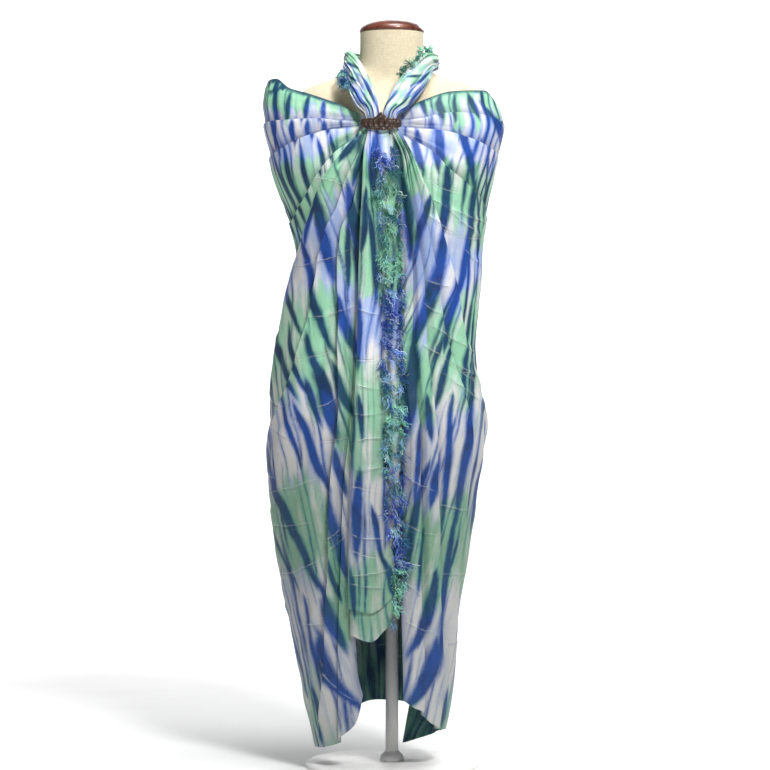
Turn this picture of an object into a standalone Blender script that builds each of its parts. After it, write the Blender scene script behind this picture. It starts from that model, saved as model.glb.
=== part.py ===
"""A sarong worn as a halter wrap on a limbless dress form, in metres, +Z up.

The front faces -Y and +X is on the viewer's right. The origin is at the centre of the stand's underside.
One rectangular cloth goes round the back. Its two fringed ends meet at a carved ring on the chest,
their corners run up round the neck as a halter, and the rest falls to the hem in overlapping folds.
Every layer is placed by its angle round the body (degrees from the front, negative towards -X) and height.
"""

import math

import bmesh
import bpy
import numpy as np

# Thickness of the cloth, and the gap left between two pieces that meet
WALL = 0.0022
SEAM = 0.0004

# The tables hold places as the viewer sees them, from this far in front and at this X and Z.
# Points in front of the axis are nearer to the viewer, and look larger, so they are brought in to real size.
VIEWER = (-0.012, -4.5, 0.658)

# Outline of the cloth round the figure
OUTLINE = (
    # height, middle (X), half width, front, back (distances from the axis)
    (0.000, -0.0235, 0.0885, 0.100, 0.078),
    (0.050, -0.0245, 0.0995, 0.104, 0.083),
    (0.134, -0.0245, 0.1175, 0.112, 0.092),
    (0.300, -0.0305, 0.1405, 0.125, 0.108),
    (0.466, -0.0295, 0.1645, 0.137, 0.126),
    (0.590, -0.0235, 0.1755, 0.142, 0.134),
    (0.715, -0.0245, 0.1665, 0.138, 0.127),
    (0.798, -0.0135, 0.1605, 0.136, 0.114),
    (0.868, -0.0045, 0.1570, 0.138, 0.105),
    (0.943, -0.008, 0.168, 0.147, 0.107),
    (1.026, -0.015, 0.190, 0.147, 0.112),
    (1.068, -0.013, 0.199, 0.133, 0.112),
    (1.110, -0.013, 0.206, 0.111, 0.107),
    (1.150, -0.020, 0.203, 0.084, 0.096),
    (1.200, -0.018, 0.196, 0.044, 0.080),
)
SQUARENESS = 0.88  # power of sine and cosine in a section: 1 is an ellipse

# The wrap, from the ring the long way round the back to the ring
WRAP = (
    # angle, heights of: top edge, level ridge, second fold, steep fold, lower edge
    (-4.5, 1.119, 1.114, 1.108, 1.102, 1.096),
    (-20, 1.147, 1.116, 1.102, 1.068, 1.004),
    (-35, 1.162, 1.115, 1.091, 1.016, 0.930),
    (-50, 1.172, 1.113, 1.076, 0.975, 0.880),
    (-66, 1.188, 1.111, 1.060, 0.950, 0.790),
    (-80, 1.186, 1.109, 1.051, 0.935, 0.330),
    (-90, 1.180, 1.108, 1.047, 0.925, 0.062),
    (-130, 1.166, 1.096, 1.030, 0.910, 0.060),
    (-180, 1.150, 1.088, 1.010, 0.900, 0.104),
    (-230, 1.152, 1.092, 1.020, 0.910, 0.092),
    (-270, 1.142, 1.104, 1.045, 0.950, 0.070),
    (-284, 1.154, 1.112, 1.054, 0.965, 0.120),
    (-298, 1.168, 1.120, 1.066, 0.985, 0.420),
    (-312, 1.168, 1.125, 1.080, 1.006, 0.650),
    (-326, 1.166, 1.127, 1.092, 1.030, 0.800),
    (-340, 1.153, 1.122, 1.100, 1.066, 0.930),
    (-359.5, 1.119, 1.114, 1.108, 1.102, 1.096),
)
WRAP_PLEATS = (0.0, 0.007, 0.008, 0.005)  # height of the pleat that each fold line starts
WRAP_ROWS = (3, 3, 3, 12)
WRAP_CROWDING = 1.5
WRAP_SEAT = 0.0010  # how far the wrap's ends stand forward, behind the ring
WRAP_COLUMNS = (14, 21, 14)  # left front, back, right front
WRAP_STRETCHES = (
    # name, first and last column
    ("left_wrap", 0, 16),
    ("back_wrap", 16, 33),
    ("right_wrap", 33, 49),
)
WRAP_TURNS = (-4.5, -80, -284, -359.5)
SEAM_TURN = 0.07  # angle that each stretch ends short of the next
BACK_FOLDS = 9
BACK_FOLD_HEIGHT = 0.006
WRAP_LIP = 0.009  # height of the steep side of a pleat

# The two drapes that fall from the ring
LEFT_DRAPE = (
    # height, angles of: outer edge, side fold, long fold, crease, inner edge
    (0.030, -140, -125, -60, -34, 5),
    (0.168, -140, -122, -38, -26, -13),
    (0.355, -135, -110, -25, -17, -8),
    (0.537, -128, -88, -20, -13, -6),
    (0.620, -122, -62, -17.5, -11, -5.5),
    (0.700, -114, -48, -18, -10, -5),
    (0.780, -100, -42, -21, -11, -5),
    (0.862, -78, -42, -27, -12, -6),
    (0.921, -56, -34, -23, -11, -6),
    (0.971, -41, -22, -14, -8, -5),
    (1.038, -24, -13, -8, -5, -3),
    (1.108, -6.7, -5.6, -4.4, -3.2, -1.8),
)
LEFT_HEM = (0.062, 0.040, 0.031, 0.040, 0.122)
LEFT_PLEATS = (0.0, 0.009, 0.010, 0.004)
RIGHT_DRAPE = (
    (0.030, 157, 82, 62, 40, 21),
    (0.168, 150, 74, 52, 33, 17),
    (0.355, 138, 64, 40, 26, 15.5),
    (0.537, 116, 58, 30, 20, 12.5),
    (0.600, 96, 54, 27.5, 18, 11),
    (0.690, 70, 44, 25, 16, 8.5),
    (0.757, 55, 35, 22.5, 14.5, 7),
    (0.800, 48, 30, 20, 13, 6.5),
    (0.862, 38.5, 24, 16, 10.5, 5.5),
    (0.921, 31, 19.5, 13, 8.5, 4.5),
    (0.971, 24.5, 16, 11, 7, 4),
    (1.038, 14.5, 11.5, 9, 6, 3),
    (1.108, 3.8, 2.7, 1.6, 0.5, -0.8),
)
RIGHT_HEM = (0.028, 0.062, 0.064, 0.088, 0.112)
RIGHT_PLEATS = (0.0, 0.007, 0.009, 0.005)
DRAPE_TOP = 1.1055
DRAPE_COLUMNS = (7, 6, 5, 4)
DRAPE_ROWS = 25
DRAPE_SPREAD = (0.0, 0.09, 0.22, 0.47, 1.0)  # share of the drop at each quarter of the rows
DRAPE_OFF = 0.0095  # how far the drapes stand off the wrap
DRAPE_GATHER = 0.0180  # and the same at the ring
DRAPE_TUCK = 0.0020  # how far the outer edge turns in
DRAPE_LIP = 0.16
DRAPE_BRIDGE = 0.0045  # extra distance where a drape bridges the hollow of the waist
WAIST = 0.825
GATHER_REACH = 0.060

# The two fringed ends that hang at the centre
FRONT_FLAP = (
    # height, left edge and right edge (X)
    (0.262, -0.0700, -0.0010),
    (0.310, -0.0715, 0.0010),
    (0.469, -0.0690, -0.0110),
    (0.577, -0.0650, -0.0140),
    (0.667, -0.0600, -0.0155),
    (0.833, -0.0530, -0.0170),
    (0.978, -0.0490, -0.0210),
    (1.065, -0.0460, -0.0240),
    (1.108, -0.0370, -0.0220),
)
FRONT_FLAP_HEM = (0.271, 0.263, 0.295)  # at its left edge, middle and right edge
UNDER_FLAP = (
    (0.215, -0.0680, -0.0080),
    (0.310, -0.0690, 0.0040),
    (0.469, -0.0660, 0.0120),
    (0.667, -0.0550, 0.0130),
    (0.833, -0.0460, 0.0120),
    (0.978, -0.0440, 0.0080),
    (1.065, -0.0420, 0.0000),
    (1.108, -0.0380, -0.0060),
)
UNDER_FLAP_HEM = (0.225, 0.213, 0.240)
UNDER_FLAP_OFF = (0.0262, 0.0184)  # off the wrap, at the ring and below
FRONT_FLAP_OFF = (0.0303, 0.0240)
FLAP_ROWS = 18
FLAP_COLUMNS = 7
FLAP_WAVE = 0.0016
FLAP_REACH = 0.150  # the flaps come closer to the body over this height

# Halter straps, from the ring up and round to the nape
LEFT_STRAP = (
    # X, Y, Z, half width, half thickness
    (-0.0328, -0.1345, 1.0930, 0.0115, 0.0105),
    (-0.0336, -0.1340, 1.1100, 0.0120, 0.0105),
    (-0.0440, -0.1170, 1.1370, 0.0190, 0.0105),
    (-0.0595, -0.0870, 1.1740, 0.0215, 0.0095),
    (-0.0735, -0.0450, 1.2100, 0.0195, 0.0090),
    (-0.0740, 0.0020, 1.2180, 0.0175, 0.0088),
    (-0.0560, 0.0500, 1.2200, 0.0165, 0.0085),
    (-0.0270, 0.0700, 1.2200, 0.0145, 0.0080),
    (-0.0112, 0.0740, 1.2195, 0.0110, 0.0070),
)
RIGHT_STRAP = (
    (-0.0060, -0.1345, 1.0930, 0.0110, 0.0105),
    (-0.0042, -0.1340, 1.1100, 0.0120, 0.0105),
    (0.0130, -0.1160, 1.1370, 0.0200, 0.0105),
    (0.0365, -0.0860, 1.1730, 0.0220, 0.0095),
    (0.0620, -0.0490, 1.2095, 0.0185, 0.0088),
    (0.0731, 0.0020, 1.2163, 0.0154, 0.0086),
    (0.0558, 0.0500, 1.2195, 0.0155, 0.0085),
    (0.0270, 0.0700, 1.2200, 0.0145, 0.0080),
    (0.0112, 0.0740, 1.2195, 0.0110, 0.0070),
)
STRAP_STATIONS = 17
STRAP_SIDES = 20
STRAP_PLEATS = 5
STRAP_PLEAT_DEPTH = 0.16  # share of the half thickness

# Knot at the nape and its two tails
KNOT_CENTRE = (0.0, 0.0770, 1.2195)
KNOT_HALF = (0.0110, 0.0135, 0.0180)
TAILS = (
    # X at the top and at the tip, height of the tip
    (-0.0060, -0.0170, 1.1560),
    (0.0062, 0.0200, 1.1620),
)
TAIL_HALF = (0.0045, 0.0120)
TAIL_Y = 0.0800

# Carved ring that gathers the cloth
RING_CENTRE = (-0.0188, -0.1345, 1.0974)
RING_HALF = (0.0350, 0.0200)
RING_WALL = 0.0042
RING_SIDES = 48
RING_PEAK = 0.0090
RING_PEAK_WIDTH = 0.0075
RING_LOBES = 9
RING_LOBE_DEPTH = 0.0010

# Fringe: a narrow strip beside the cloth's edge, with locks that leave it and fall
STRIP = 0.0022
LOCK_HALF = (0.0021, 0.0011)
LOCK_SEGMENTS = 2
FRINGES = (
    # flap, top, bottom, locks, reach of odd and even locks, length of the longest and shortest
    ("front_fringe", FRONT_FLAP, FRONT_FLAP_OFF, 1.070, 0.302, 29, (0.0070, 0.0150), (0.040, 0.030)),
    ("under_fringe", UNDER_FLAP, UNDER_FLAP_OFF, 1.072, 0.245, 21, (0.0054, 0.0110), (0.046, 0.034)),
)
STRAP_FRINGES = (
    # strap, gap, first and last share of its length from the ring, locks, reach, lengths
    ("right_strap_fringe", RIGHT_STRAP, 0.0007, 0.34, 0.60, 11, (0.0050, 0.0100), (0.022, 0.016)),
    ("left_strap_fringe", LEFT_STRAP, 0.0012, 0.40, 0.53, 6, (0.0050, 0.0100), (0.026, 0.018)),
)

# Dress form
FORM = (
    # height, half width, front, back
    (0.560, 0.108, 0.086, 0.086),
    (0.572, 0.122, 0.100, 0.100),
    (0.620, 0.130, 0.110, 0.112),
    (0.690, 0.130, 0.112, 0.108),
    (0.780, 0.126, 0.106, 0.094),
    (0.868, 0.120, 0.102, 0.083),
    (0.943, 0.135, 0.116, 0.089),
    (1.005, 0.154, 0.128, 0.096),
    (1.050, 0.166, 0.119, 0.098),
    (1.090, 0.174, 0.102, 0.094),
    (1.120, 0.176, 0.084, 0.086),
    (1.140, 0.173, 0.072, 0.078),
    (1.155, 0.166, 0.063, 0.072),
    (1.166, 0.154, 0.057, 0.068),
    (1.175, 0.137, 0.053, 0.065),
    (1.182, 0.116, 0.051, 0.062),
    (1.190, 0.088, 0.050, 0.060),
    (1.201, 0.0640, 0.050, 0.058),
    (1.220, 0.0570, 0.050, 0.057),
    (1.245, 0.0550, 0.051, 0.057),
    (1.2660, 0.0550, 0.052, 0.057),
)
FORM_SIDES = 30
FORM_SQUARENESS = 0.92
CAP_BOTTOM = 1.2664
CAP_HEIGHT = 0.0220
CAP_RADIUS = 0.0565
POLE_RADIUS = 0.0110
BASE_RADIUS = 0.1500
BASE_HEIGHT = 0.0090

COLOURS = {
    "cloth": ((0.36, 0.55, 0.78, 1.0), 0.6),
    "fringe": ((0.10, 0.27, 0.55, 1.0), 0.8),
    "ring": ((0.11, 0.05, 0.03, 1.0), 0.45),
    "form": ((0.78, 0.70, 0.56, 1.0), 0.8),
    "cap": ((0.10, 0.03, 0.02, 1.0), 0.3),
    "stand": ((0.60, 0.58, 0.54, 1.0), 0.4),
}


# Curves and sections


def smooth(x, xs, ys):
    """A curve through (xs, ys) that doesn't overshoot, read at x. xs rise, and it is level past both ends."""
    xs, ys = np.asarray(xs, float), np.asarray(ys, float)
    h = np.diff(xs)
    slope = np.diff(ys) / h
    bend = np.zeros_like(ys)
    if len(xs) > 2:
        near, far = 2 * h[1:] + h[:-1], h[1:] + 2 * h[:-1]
        both = slope[:-1] * slope[1:] > 0
        left = np.where(both, slope[:-1], 1.0)
        right = np.where(both, slope[1:], 1.0)
        bend[1:-1] = np.where(both, (near + far) / (near / left + far / right), 0.0)
    bend[0], bend[-1] = slope[0], slope[-1]
    x = np.clip(np.asarray(x, float), xs[0], xs[-1])
    k = np.clip(np.searchsorted(xs, x, side="right") - 1, 0, len(h) - 1)
    t = (x - xs[k]) / h[k]
    rise = ys[k] * (1 + 2 * t) * (1 - t) ** 2 + ys[k + 1] * t * t * (3 - 2 * t)
    return rise + h[k] * (bend[k] * t * (1 - t) ** 2 - bend[k + 1] * t * t * (1 - t))


def ease(t):
    t = np.clip(t, 0.0, 1.0)
    return t * t * (3 - 2 * t)


def power(value, exponent):
    return np.sign(value) * np.abs(value) ** exponent


def unit(vectors):
    return vectors / np.linalg.norm(vectors, axis=-1, keepdims=True)


def real_size(points):
    """Points of the front half, brought from where they are seen to where they are."""
    share = np.minimum(points[..., 1:2], 0) / -VIEWER[1]
    return points + (points - VIEWER) * share * (1, 0, 1)


def on_body(angle, height, off):
    """Points and outward directions at an angle and height, off the outline."""
    rows = np.array(OUTLINE)
    middle, half, ahead, behind = (smooth(height, rows[:, 0], rows[:, k]) for k in range(1, 5))
    turn = np.radians(angle)
    depth = np.where(np.cos(turn) > 0, ahead, behind)
    zero = np.zeros_like(turn)
    out = unit(np.stack([np.sin(turn) / half, -np.cos(turn) / depth, zero], -1))
    x = middle + half * power(np.sin(turn), SQUARENESS)
    y = -depth * power(np.cos(turn), SQUARENESS)
    at = np.stack([x, y, zero + height], -1)
    return real_size(at + out * np.asarray(off)[..., None]), out


def angle_at(x, height):
    """Angle of the front point with this X."""
    rows = np.array(OUTLINE)
    middle, half = (smooth(height, rows[:, 0], rows[:, k]) for k in (1, 2))
    return np.degrees(np.arcsin(power(np.clip((x - middle) / half, -1, 1), 1 / SQUARENESS)))


# Solids


def material(name):
    made = bpy.data.materials.get(name)
    if made is None:
        made = bpy.data.materials.new(name)
        made.use_nodes = True
        colour, rough = COLOURS[name]
        shader = made.node_tree.nodes["Principled BSDF"]
        shader.inputs["Base Color"].default_value = colour
        shader.inputs["Roughness"].default_value = rough
        shader.inputs["Metallic"].default_value = 0.0
    return made


def add(name, points, faces, finish):
    """A named object from points and faces, its faces turned to point outwards."""
    mesh = bpy.data.meshes.new(name)
    mesh.from_pydata([tuple(map(float, p)) for p in points], [], faces)
    work = bmesh.new()
    work.from_mesh(mesh)
    bmesh.ops.recalc_face_normals(work, faces=work.faces)
    bmesh.ops.triangulate(work, faces=work.faces)
    work.to_mesh(mesh)
    work.free()
    mesh.materials.append(material(finish))
    mesh.shade_smooth()
    mesh.set_sharp_from_angle(angle=math.radians(40))
    made = bpy.data.objects.new(name, mesh)
    bpy.context.scene.collection.objects.link(made)
    return made


def wall(name, outer, out, thick=WALL, finish="cloth"):
    """A closed wall: its outer side is the grid of points, and it is thick inwards, against out."""
    rows, columns = outer.shape[:2]
    points = np.concatenate([outer.reshape(-1, 3), (outer - out * thick).reshape(-1, 3)])

    def at(side, i, j):
        return side * rows * columns + i * columns + j

    faces = []
    for i in range(rows - 1):
        for j in range(columns - 1):
            for side in (0, 1):
                faces.append((at(side, i, j), at(side, i, j + 1), at(side, i + 1, j + 1), at(side, i + 1, j)))
    rim = [(i, 0) for i in range(rows)]
    rim += [(rows - 1, j) for j in range(1, columns)]
    rim += [(i, columns - 1) for i in range(rows - 2, -1, -1)]
    rim += [(0, j) for j in range(columns - 2, 0, -1)]
    for first, second in zip(rim, rim[1:] + rim[:1]):
        faces.append((at(0, *first), at(0, *second), at(1, *second), at(1, *first)))
    return add(name, points, faces, finish)


def tube(name, rings, finish, ends=True):
    """A closed solid through rings of points. Without ends the last ring joins the first."""
    count, sides = len(rings), len(rings[0])
    points = np.concatenate(rings)
    faces = []
    for i in range(count - 1 if ends else count):
        for j in range(sides):
            k = (j + 1) % sides
            n = (i + 1) % count
            faces.append((i * sides + j, i * sides + k, n * sides + k, n * sides + j))
    if ends:
        points = np.concatenate([points, [np.mean(rings[0], axis=0), np.mean(rings[-1], axis=0)]])
        last = (count - 1) * sides
        for j in range(sides):
            k = (j + 1) % sides
            faces.append((count * sides, k, j))
            faces.append((count * sides + 1, last + j, last + k))
    return add(name, points, faces, finish)


def turned(name, profile, finish, centre=(0.0, 0.0), sides=32):
    """A turned solid from (radius, height) pairs, bottom to top."""
    turn = np.linspace(0, 2 * math.pi, sides, endpoint=False)
    rings = []
    for radius, height in profile:
        x = centre[0] + radius * np.cos(turn)
        y = centre[1] + radius * np.sin(turn)
        rings.append(np.stack([x, y, np.full_like(x, height)], -1))
    return tube(name, rings, finish)


# Folds


def positions(counts, lip, crowding=1.0):
    """Positions across the fold lines: each line, the top of its lip, and steps to the next line.

    lip has a value for each line. The last steps grow with crowding over 1.
    """
    found = [0 * lip[0] + n / counts[0] for n in range(counts[0])]
    for k, count in enumerate(counts[1:], start=1):
        grow = crowding if k == len(counts) - 1 else 1.0
        found.append(0 * lip[k] + k)
        found += [k + lip[k] + (1 - lip[k]) * (n / (count - 1)) ** grow for n in range(count - 1)]
    return np.stack(found + [0 * lip[0] + len(counts)])


def pleat(across, heights, lip):
    """Relief of the knife pleats: up over the lip at each fold line, then down to the next line."""
    k = np.clip(np.floor(across).astype(int), 0, len(heights) - 1)
    part = across - k
    down = (1 - np.clip((part - lip) / (1 - lip), 0, 1)) ** 1.3
    return np.asarray(heights)[k] * np.where(part < lip, ease(part / lip), down)


def wrap_lines(angle):
    rows = np.array(WRAP)
    return np.stack([smooth(-angle, -rows[:, 0], rows[:, k]) for k in range(1, 6)])


def wrap_lip(lines):
    """Share of each band between the wrap's lines that its pleat's steep side takes."""
    return np.clip(WRAP_LIP / (lines[:-1] - lines[1:]), 0.0, 0.3)


def wrap_relief(angle, height, across, lip):
    """How far the wrap stands off the outline: the front's pleats, and soft upright folds at the sides and back."""
    near = np.minimum(np.abs(angle - WRAP_TURNS[0]), np.abs(angle - WRAP_TURNS[-1]))
    front = (1 - ease((near - 66) / 40)) * ease(near / 16)
    seat = WRAP_SEAT * (1 - ease(near / 8))
    back = ease((near - 74) / 30) * ease((1.13 - height) / 0.7)
    swing = np.cos(np.radians(angle) * BACK_FOLDS + 0.6 * np.sin(np.radians(angle) * 2))
    return seat + pleat(across, WRAP_PLEATS, lip) * front + BACK_FOLD_HEIGHT * back * (swing - 1) * 0.5


def under_drape(angle, height):
    """The wrap's relief at a point of a drape that lies on it."""
    angle = np.where(angle > -2, np.maximum(angle - 360, WRAP_TURNS[-1]), np.minimum(angle, WRAP_TURNS[0]))
    lines = wrap_lines(angle)
    across = np.zeros_like(angle)
    lip = wrap_lip(lines)
    here = lip[0]
    for k in range(len(lines) - 1):
        part = (lines[k] - height) / (lines[k] - lines[k + 1])
        across = np.where(part > 0, k + np.clip(part, 0, 1), across)
        here = np.where(part > 0, lip[k], here)
    return wrap_relief(angle, height, across, here)


def make_wrap():
    turns = [np.linspace(a, b, n + 1)[:-1] for a, b, n in zip(WRAP_TURNS, WRAP_TURNS[1:], WRAP_COLUMNS)]
    whole = np.append(np.concatenate(turns), WRAP_TURNS[-1])
    for name, first, last in WRAP_STRETCHES:
        angle = whole[first:last + 1].copy()
        angle[0] -= SEAM_TURN * (first > 0)
        angle[-1] += SEAM_TURN * (last < len(whole) - 1)
        make_stretch(name, angle)


def make_stretch(name, angle):
    """One stretch of the wrap, with columns at these angles."""
    lines = wrap_lines(angle)
    lip = wrap_lip(lines)
    across = positions(WRAP_ROWS, lip, WRAP_CROWDING)
    k = np.clip(np.floor(across).astype(int), 0, len(lines) - 2)
    column = np.broadcast_to(np.arange(len(angle)), k.shape)
    part = across - k
    height = lines[k, column] * (1 - part) + lines[k + 1, column] * part
    angle = np.broadcast_to(angle, height.shape)
    outer, out = on_body(angle, height, wrap_relief(angle, height, across, lip[k, column]))
    wall(name, outer, out)


def drape_grid(table, hem, across, rows):
    """Angle and height of a drape's points, rows down from the ring and columns across its fold lines."""
    table = np.array(table)
    share = smooth(np.linspace(0, 1, rows), np.linspace(0, 1, len(DRAPE_SPREAD)), DRAPE_SPREAD)
    low = smooth(across, np.arange(len(hem)), hem)
    height = DRAPE_TOP + share[:, None] * (low - DRAPE_TOP)
    lines = np.stack([smooth(height, table[:, 0], table[:, k]) for k in range(1, 6)])
    k = np.clip(np.floor(across).astype(int), 0, len(hem) - 2)
    part = across - k
    column = np.arange(len(across))
    angle = lines[k, :, column].T * (1 - part) + lines[k + 1, :, column].T * part
    return angle, height


def make_drape(name, table, hem, pleats):
    across = positions(DRAPE_COLUMNS, np.full(len(DRAPE_COLUMNS), DRAPE_LIP))
    angle, height = drape_grid(table, hem, across, DRAPE_ROWS)
    down = DRAPE_TOP - height
    fall = 1 - ease(down / GATHER_REACH)
    off = DRAPE_OFF + (DRAPE_GATHER - DRAPE_OFF) * fall + under_drape(angle, height)
    off += pleat(across, pleats, DRAPE_LIP) * (0.25 + 0.75 * ease(down / 0.16))
    off += DRAPE_BRIDGE * np.exp(-(((height - WAIST) / 0.07) ** 2)) * (1 - ease(across / 2.2))
    off -= DRAPE_TUCK * (1 - ease(across / 0.2)) * (1 - fall)
    outer, out = on_body(angle, height, off)
    wall(name, outer, out)


def flap_off(height, x, off):
    """How far a flap stands off the outline. Both flaps share one gentle wave, so they keep their distance."""
    down = DRAPE_TOP - height
    wave = FLAP_WAVE * np.cos(x * 150 + 1.2) * ease(down / 0.3)
    return off[0] + (off[1] - off[0]) * ease(down / FLAP_REACH) + wave


def flap_edges(table, height):
    table = np.array(table)
    return smooth(height, table[:, 0], table[:, 1]), smooth(height, table[:, 0], table[:, 2])


def make_flap(name, table, hem, off):
    across = np.linspace(0, 1, FLAP_COLUMNS)
    low = smooth(across, (0, 0.5, 1), hem)
    height = DRAPE_TOP + np.linspace(0, 1, FLAP_ROWS)[:, None] * (low - DRAPE_TOP)
    left, right = flap_edges(table, height)
    x = left + (right - left) * across
    outer, out = on_body(angle_at(x, height), height, flap_off(height, x, off))
    wall(name, outer, out)


# Straps and the knot behind the neck


def strap_frame(table, stations):
    """Middle, directions and half sizes of a strap at evenly spaced stations."""
    table = np.array(table)
    steps = np.append(0, np.cumsum(np.linalg.norm(np.diff(table[:, :3], axis=0), axis=1)))
    at = np.asarray(stations) * steps[-1]
    middle = np.stack([smooth(at, steps, table[:, k]) for k in range(3)], -1)
    half, thick = (smooth(at, steps, table[:, k]) for k in (3, 4))
    along = unit(np.gradient(middle, axis=0))
    along[0] = (0, 0, 1)
    lean = 0.25 * (1 - ease((middle[:, 2] - 1.185) / 0.025))
    away = unit(middle * (1, 1, 0)) + np.outer(lean, (0, 0, 1))
    away[0] = (0, -1, 0)
    away = unit(away - along * np.sum(away * along, axis=1)[:, None])
    return middle, along, away, np.cross(along, away), half, thick


def make_strap(name, table):
    middle, along, away, wide, half, thick = strap_frame(table, np.linspace(0, 1, STRAP_STATIONS))
    turn = np.linspace(0, 2 * math.pi, STRAP_SIDES, endpoint=False)
    ripple = 1 + STRAP_PLEAT_DEPTH * np.cos(2 * STRAP_PLEATS * turn) * np.abs(np.sin(turn))
    across, deep = power(np.cos(turn), 0.9), power(np.sin(turn), 0.8) * ripple
    rings = []
    for k in range(STRAP_STATIONS):
        flat = across[:, None] * half[k] * wide[k]
        rings.append(middle[k] + flat + deep[:, None] * thick[k] * away[k])
    tube(name, rings, "cloth")


def make_nape():
    turn = np.linspace(0, 2 * math.pi, 14, endpoint=False)
    rings = []
    for tilt in np.radians(np.linspace(-75, 75, 8)):
        x = KNOT_HALF[0] * np.cos(tilt) * np.cos(turn)
        y = KNOT_HALF[1] * np.cos(tilt) * np.sin(turn)
        z = np.full_like(x, KNOT_HALF[2] * math.sin(tilt))
        rings.append(np.stack([x, y, z], -1) + KNOT_CENTRE)
    tube("nape_knot", rings, "cloth")
    bottom = KNOT_CENTRE[2] - KNOT_HALF[2] * math.sin(math.radians(75)) - SEAM
    for side, (top_x, tip_x, tip_z) in zip(("left", "right"), TAILS):
        share = np.linspace(0, 1, 5)[:, None]
        across = np.linspace(-1, 1, 3)
        half = TAIL_HALF[0] + (TAIL_HALF[1] - TAIL_HALF[0]) * share
        x = top_x + (tip_x - top_x) * share + half * across
        y = TAIL_Y + 0.002 * share + 0.0012 * across ** 2
        z = bottom + share * (tip_z - bottom) + 0 * across
        out = np.broadcast_to((0.0, 1.0, 0.0), x.shape + (3,))
        wall(side + "_tail", np.stack([x, y, z], -1), out)


# Fringe


def comb(name, path, along, side, out, roots, reaches, lengths):
    """A strip along path with a lock at each root (a share of the path), as one closed body.

    The locks leave the strip sideways and turn to fall along it. Odd and even ones reach differently far.
    """
    share = np.linspace(0, 1, len(path))
    spread = LOCK_HALF[0] / np.linalg.norm(np.diff(path, axis=0), axis=1).sum()
    stations = [0.0]
    for root in roots:
        stations += [root - spread, root + spread]
    stations.append(1.0)

    def at(values, where):
        return np.stack([np.interp(where, share, values[:, k]) for k in range(3)], -1)

    middle, down = at(path, stations), unit(at(along, stations))
    sideways, outward = unit(at(side, stations)), unit(at(out, stations))
    thick = outward * LOCK_HALF[1]
    corners = [middle + thick, middle + sideways * STRIP + thick, middle + sideways * STRIP - thick, middle - thick]
    points = [corner[i] for i in range(len(stations)) for corner in corners]
    faces = [(0, 1, 2, 3), tuple(len(points) - n for n in (1, 2, 3, 4))]
    for i in range(len(stations) - 1):
        here, there = 4 * i, 4 * (i + 1)
        for j in range(4):
            k = (j + 1) % 4
            if not (i % 2 and j == 1):
                faces.append((here + j, here + k, there + k, there + j))
        if i % 2 == 0:
            continue
        number = i // 2
        reach = reaches[number % 2]
        length = lengths[1] + (lengths[0] - lengths[1]) * (0.5 + 0.5 * math.sin(number * 2.4))
        ring = [here + 1, there + 1, there + 2, here + 2]
        start = (middle[i] + middle[i + 1]) / 2 + sideways[i] * STRIP
        for step in range(1, LOCK_SEGMENTS + 1):
            t = step / LOCK_SEGMENTS
            turn = math.radians(80) * min(1.0, 1.6 * t)
            size = 1 - 0.35 * t
            centre = start + sideways[i] * reach * (1 - (1 - t) ** 2.2) + down[i] * length * t ** 1.3
            edge = (math.cos(turn) * down[i] - math.sin(turn) * sideways[i]) * LOCK_HALF[0] * size
            flat = outward[i] * LOCK_HALF[1] * size
            points += [centre - edge + flat, centre + edge + flat, centre + edge - flat, centre - edge - flat]
            fresh = list(range(len(points) - 4, len(points)))
            for j in range(4):
                k = (j + 1) % 4
                faces.append((ring[j], ring[k], fresh[k], fresh[j]))
            ring = fresh
        faces.append(tuple(ring))
    add(name, points, faces, "fringe")


def make_flap_fringe(name, table, off, top, bottom, locks, reaches, lengths):
    height = np.linspace(top, bottom, 40)
    x = flap_edges(table, height)[1]
    stand = flap_off(height, x, off) - WALL / 4
    beside = angle_at(x, height)
    edge, out = on_body(beside, height, stand)
    side = unit(np.cross(out, np.broadcast_to((0.0, 0.0, -1.0), out.shape)))
    side *= np.sign(side[:, :1])
    path = edge + side * 2 * SEAM
    along = unit(np.gradient(path, axis=0))
    roots = (np.arange(locks) + 0.5) / locks
    comb(name, path, along, side, out, roots, reaches, lengths)


def make_strap_fringe(name, table, gap, first, last, locks, reaches, lengths):
    middle, along, away, wide, half, _ = strap_frame(table, np.linspace(0, 1, 61))
    keep = slice(int(first * 60), int(last * 60) + 1)
    side = -wide[keep][::-1]
    path = (middle[keep] - wide[keep] * (half[keep] + gap)[:, None])[::-1]
    roots = (np.arange(locks) + 0.5) / locks
    comb(name, path, -along[keep][::-1], side, away[keep][::-1], roots, reaches, lengths)


# Ring, form and stand


def make_ring():
    turn = np.linspace(0, 2 * math.pi, RING_SIDES, endpoint=False)
    front = np.clip(-np.sin(turn), 0, 1)
    x = np.cos(turn)
    peak = RING_PEAK * np.exp(-((x * RING_HALF[0]) / RING_PEAK_WIDTH) ** 2) * (front > 0)
    top = 0.0050 + 0.0025 * front + peak
    low = -0.0050 - 0.0085 * front * (1 - 0.35 * x * x)
    lobes = RING_LOBE_DEPTH * np.abs(np.cos(RING_LOBES * turn / 2)) * front
    rings = []
    for inset, share in ((0.0008, 0.0), (0.0, 0.5), (0.0008, 1.0), (RING_WALL, 1.0), (RING_WALL, 0.0)):
        bulge = lobes if inset < RING_WALL else 0.0
        rings.append(np.stack([
            RING_CENTRE[0] + (RING_HALF[0] - inset + bulge) * x,
            RING_CENTRE[1] + (RING_HALF[1] - inset + bulge) * np.sin(turn),
            RING_CENTRE[2] + low + (top - low) * share,
        ], -1))
    tube("ring", rings, "ring", ends=False)


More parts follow.
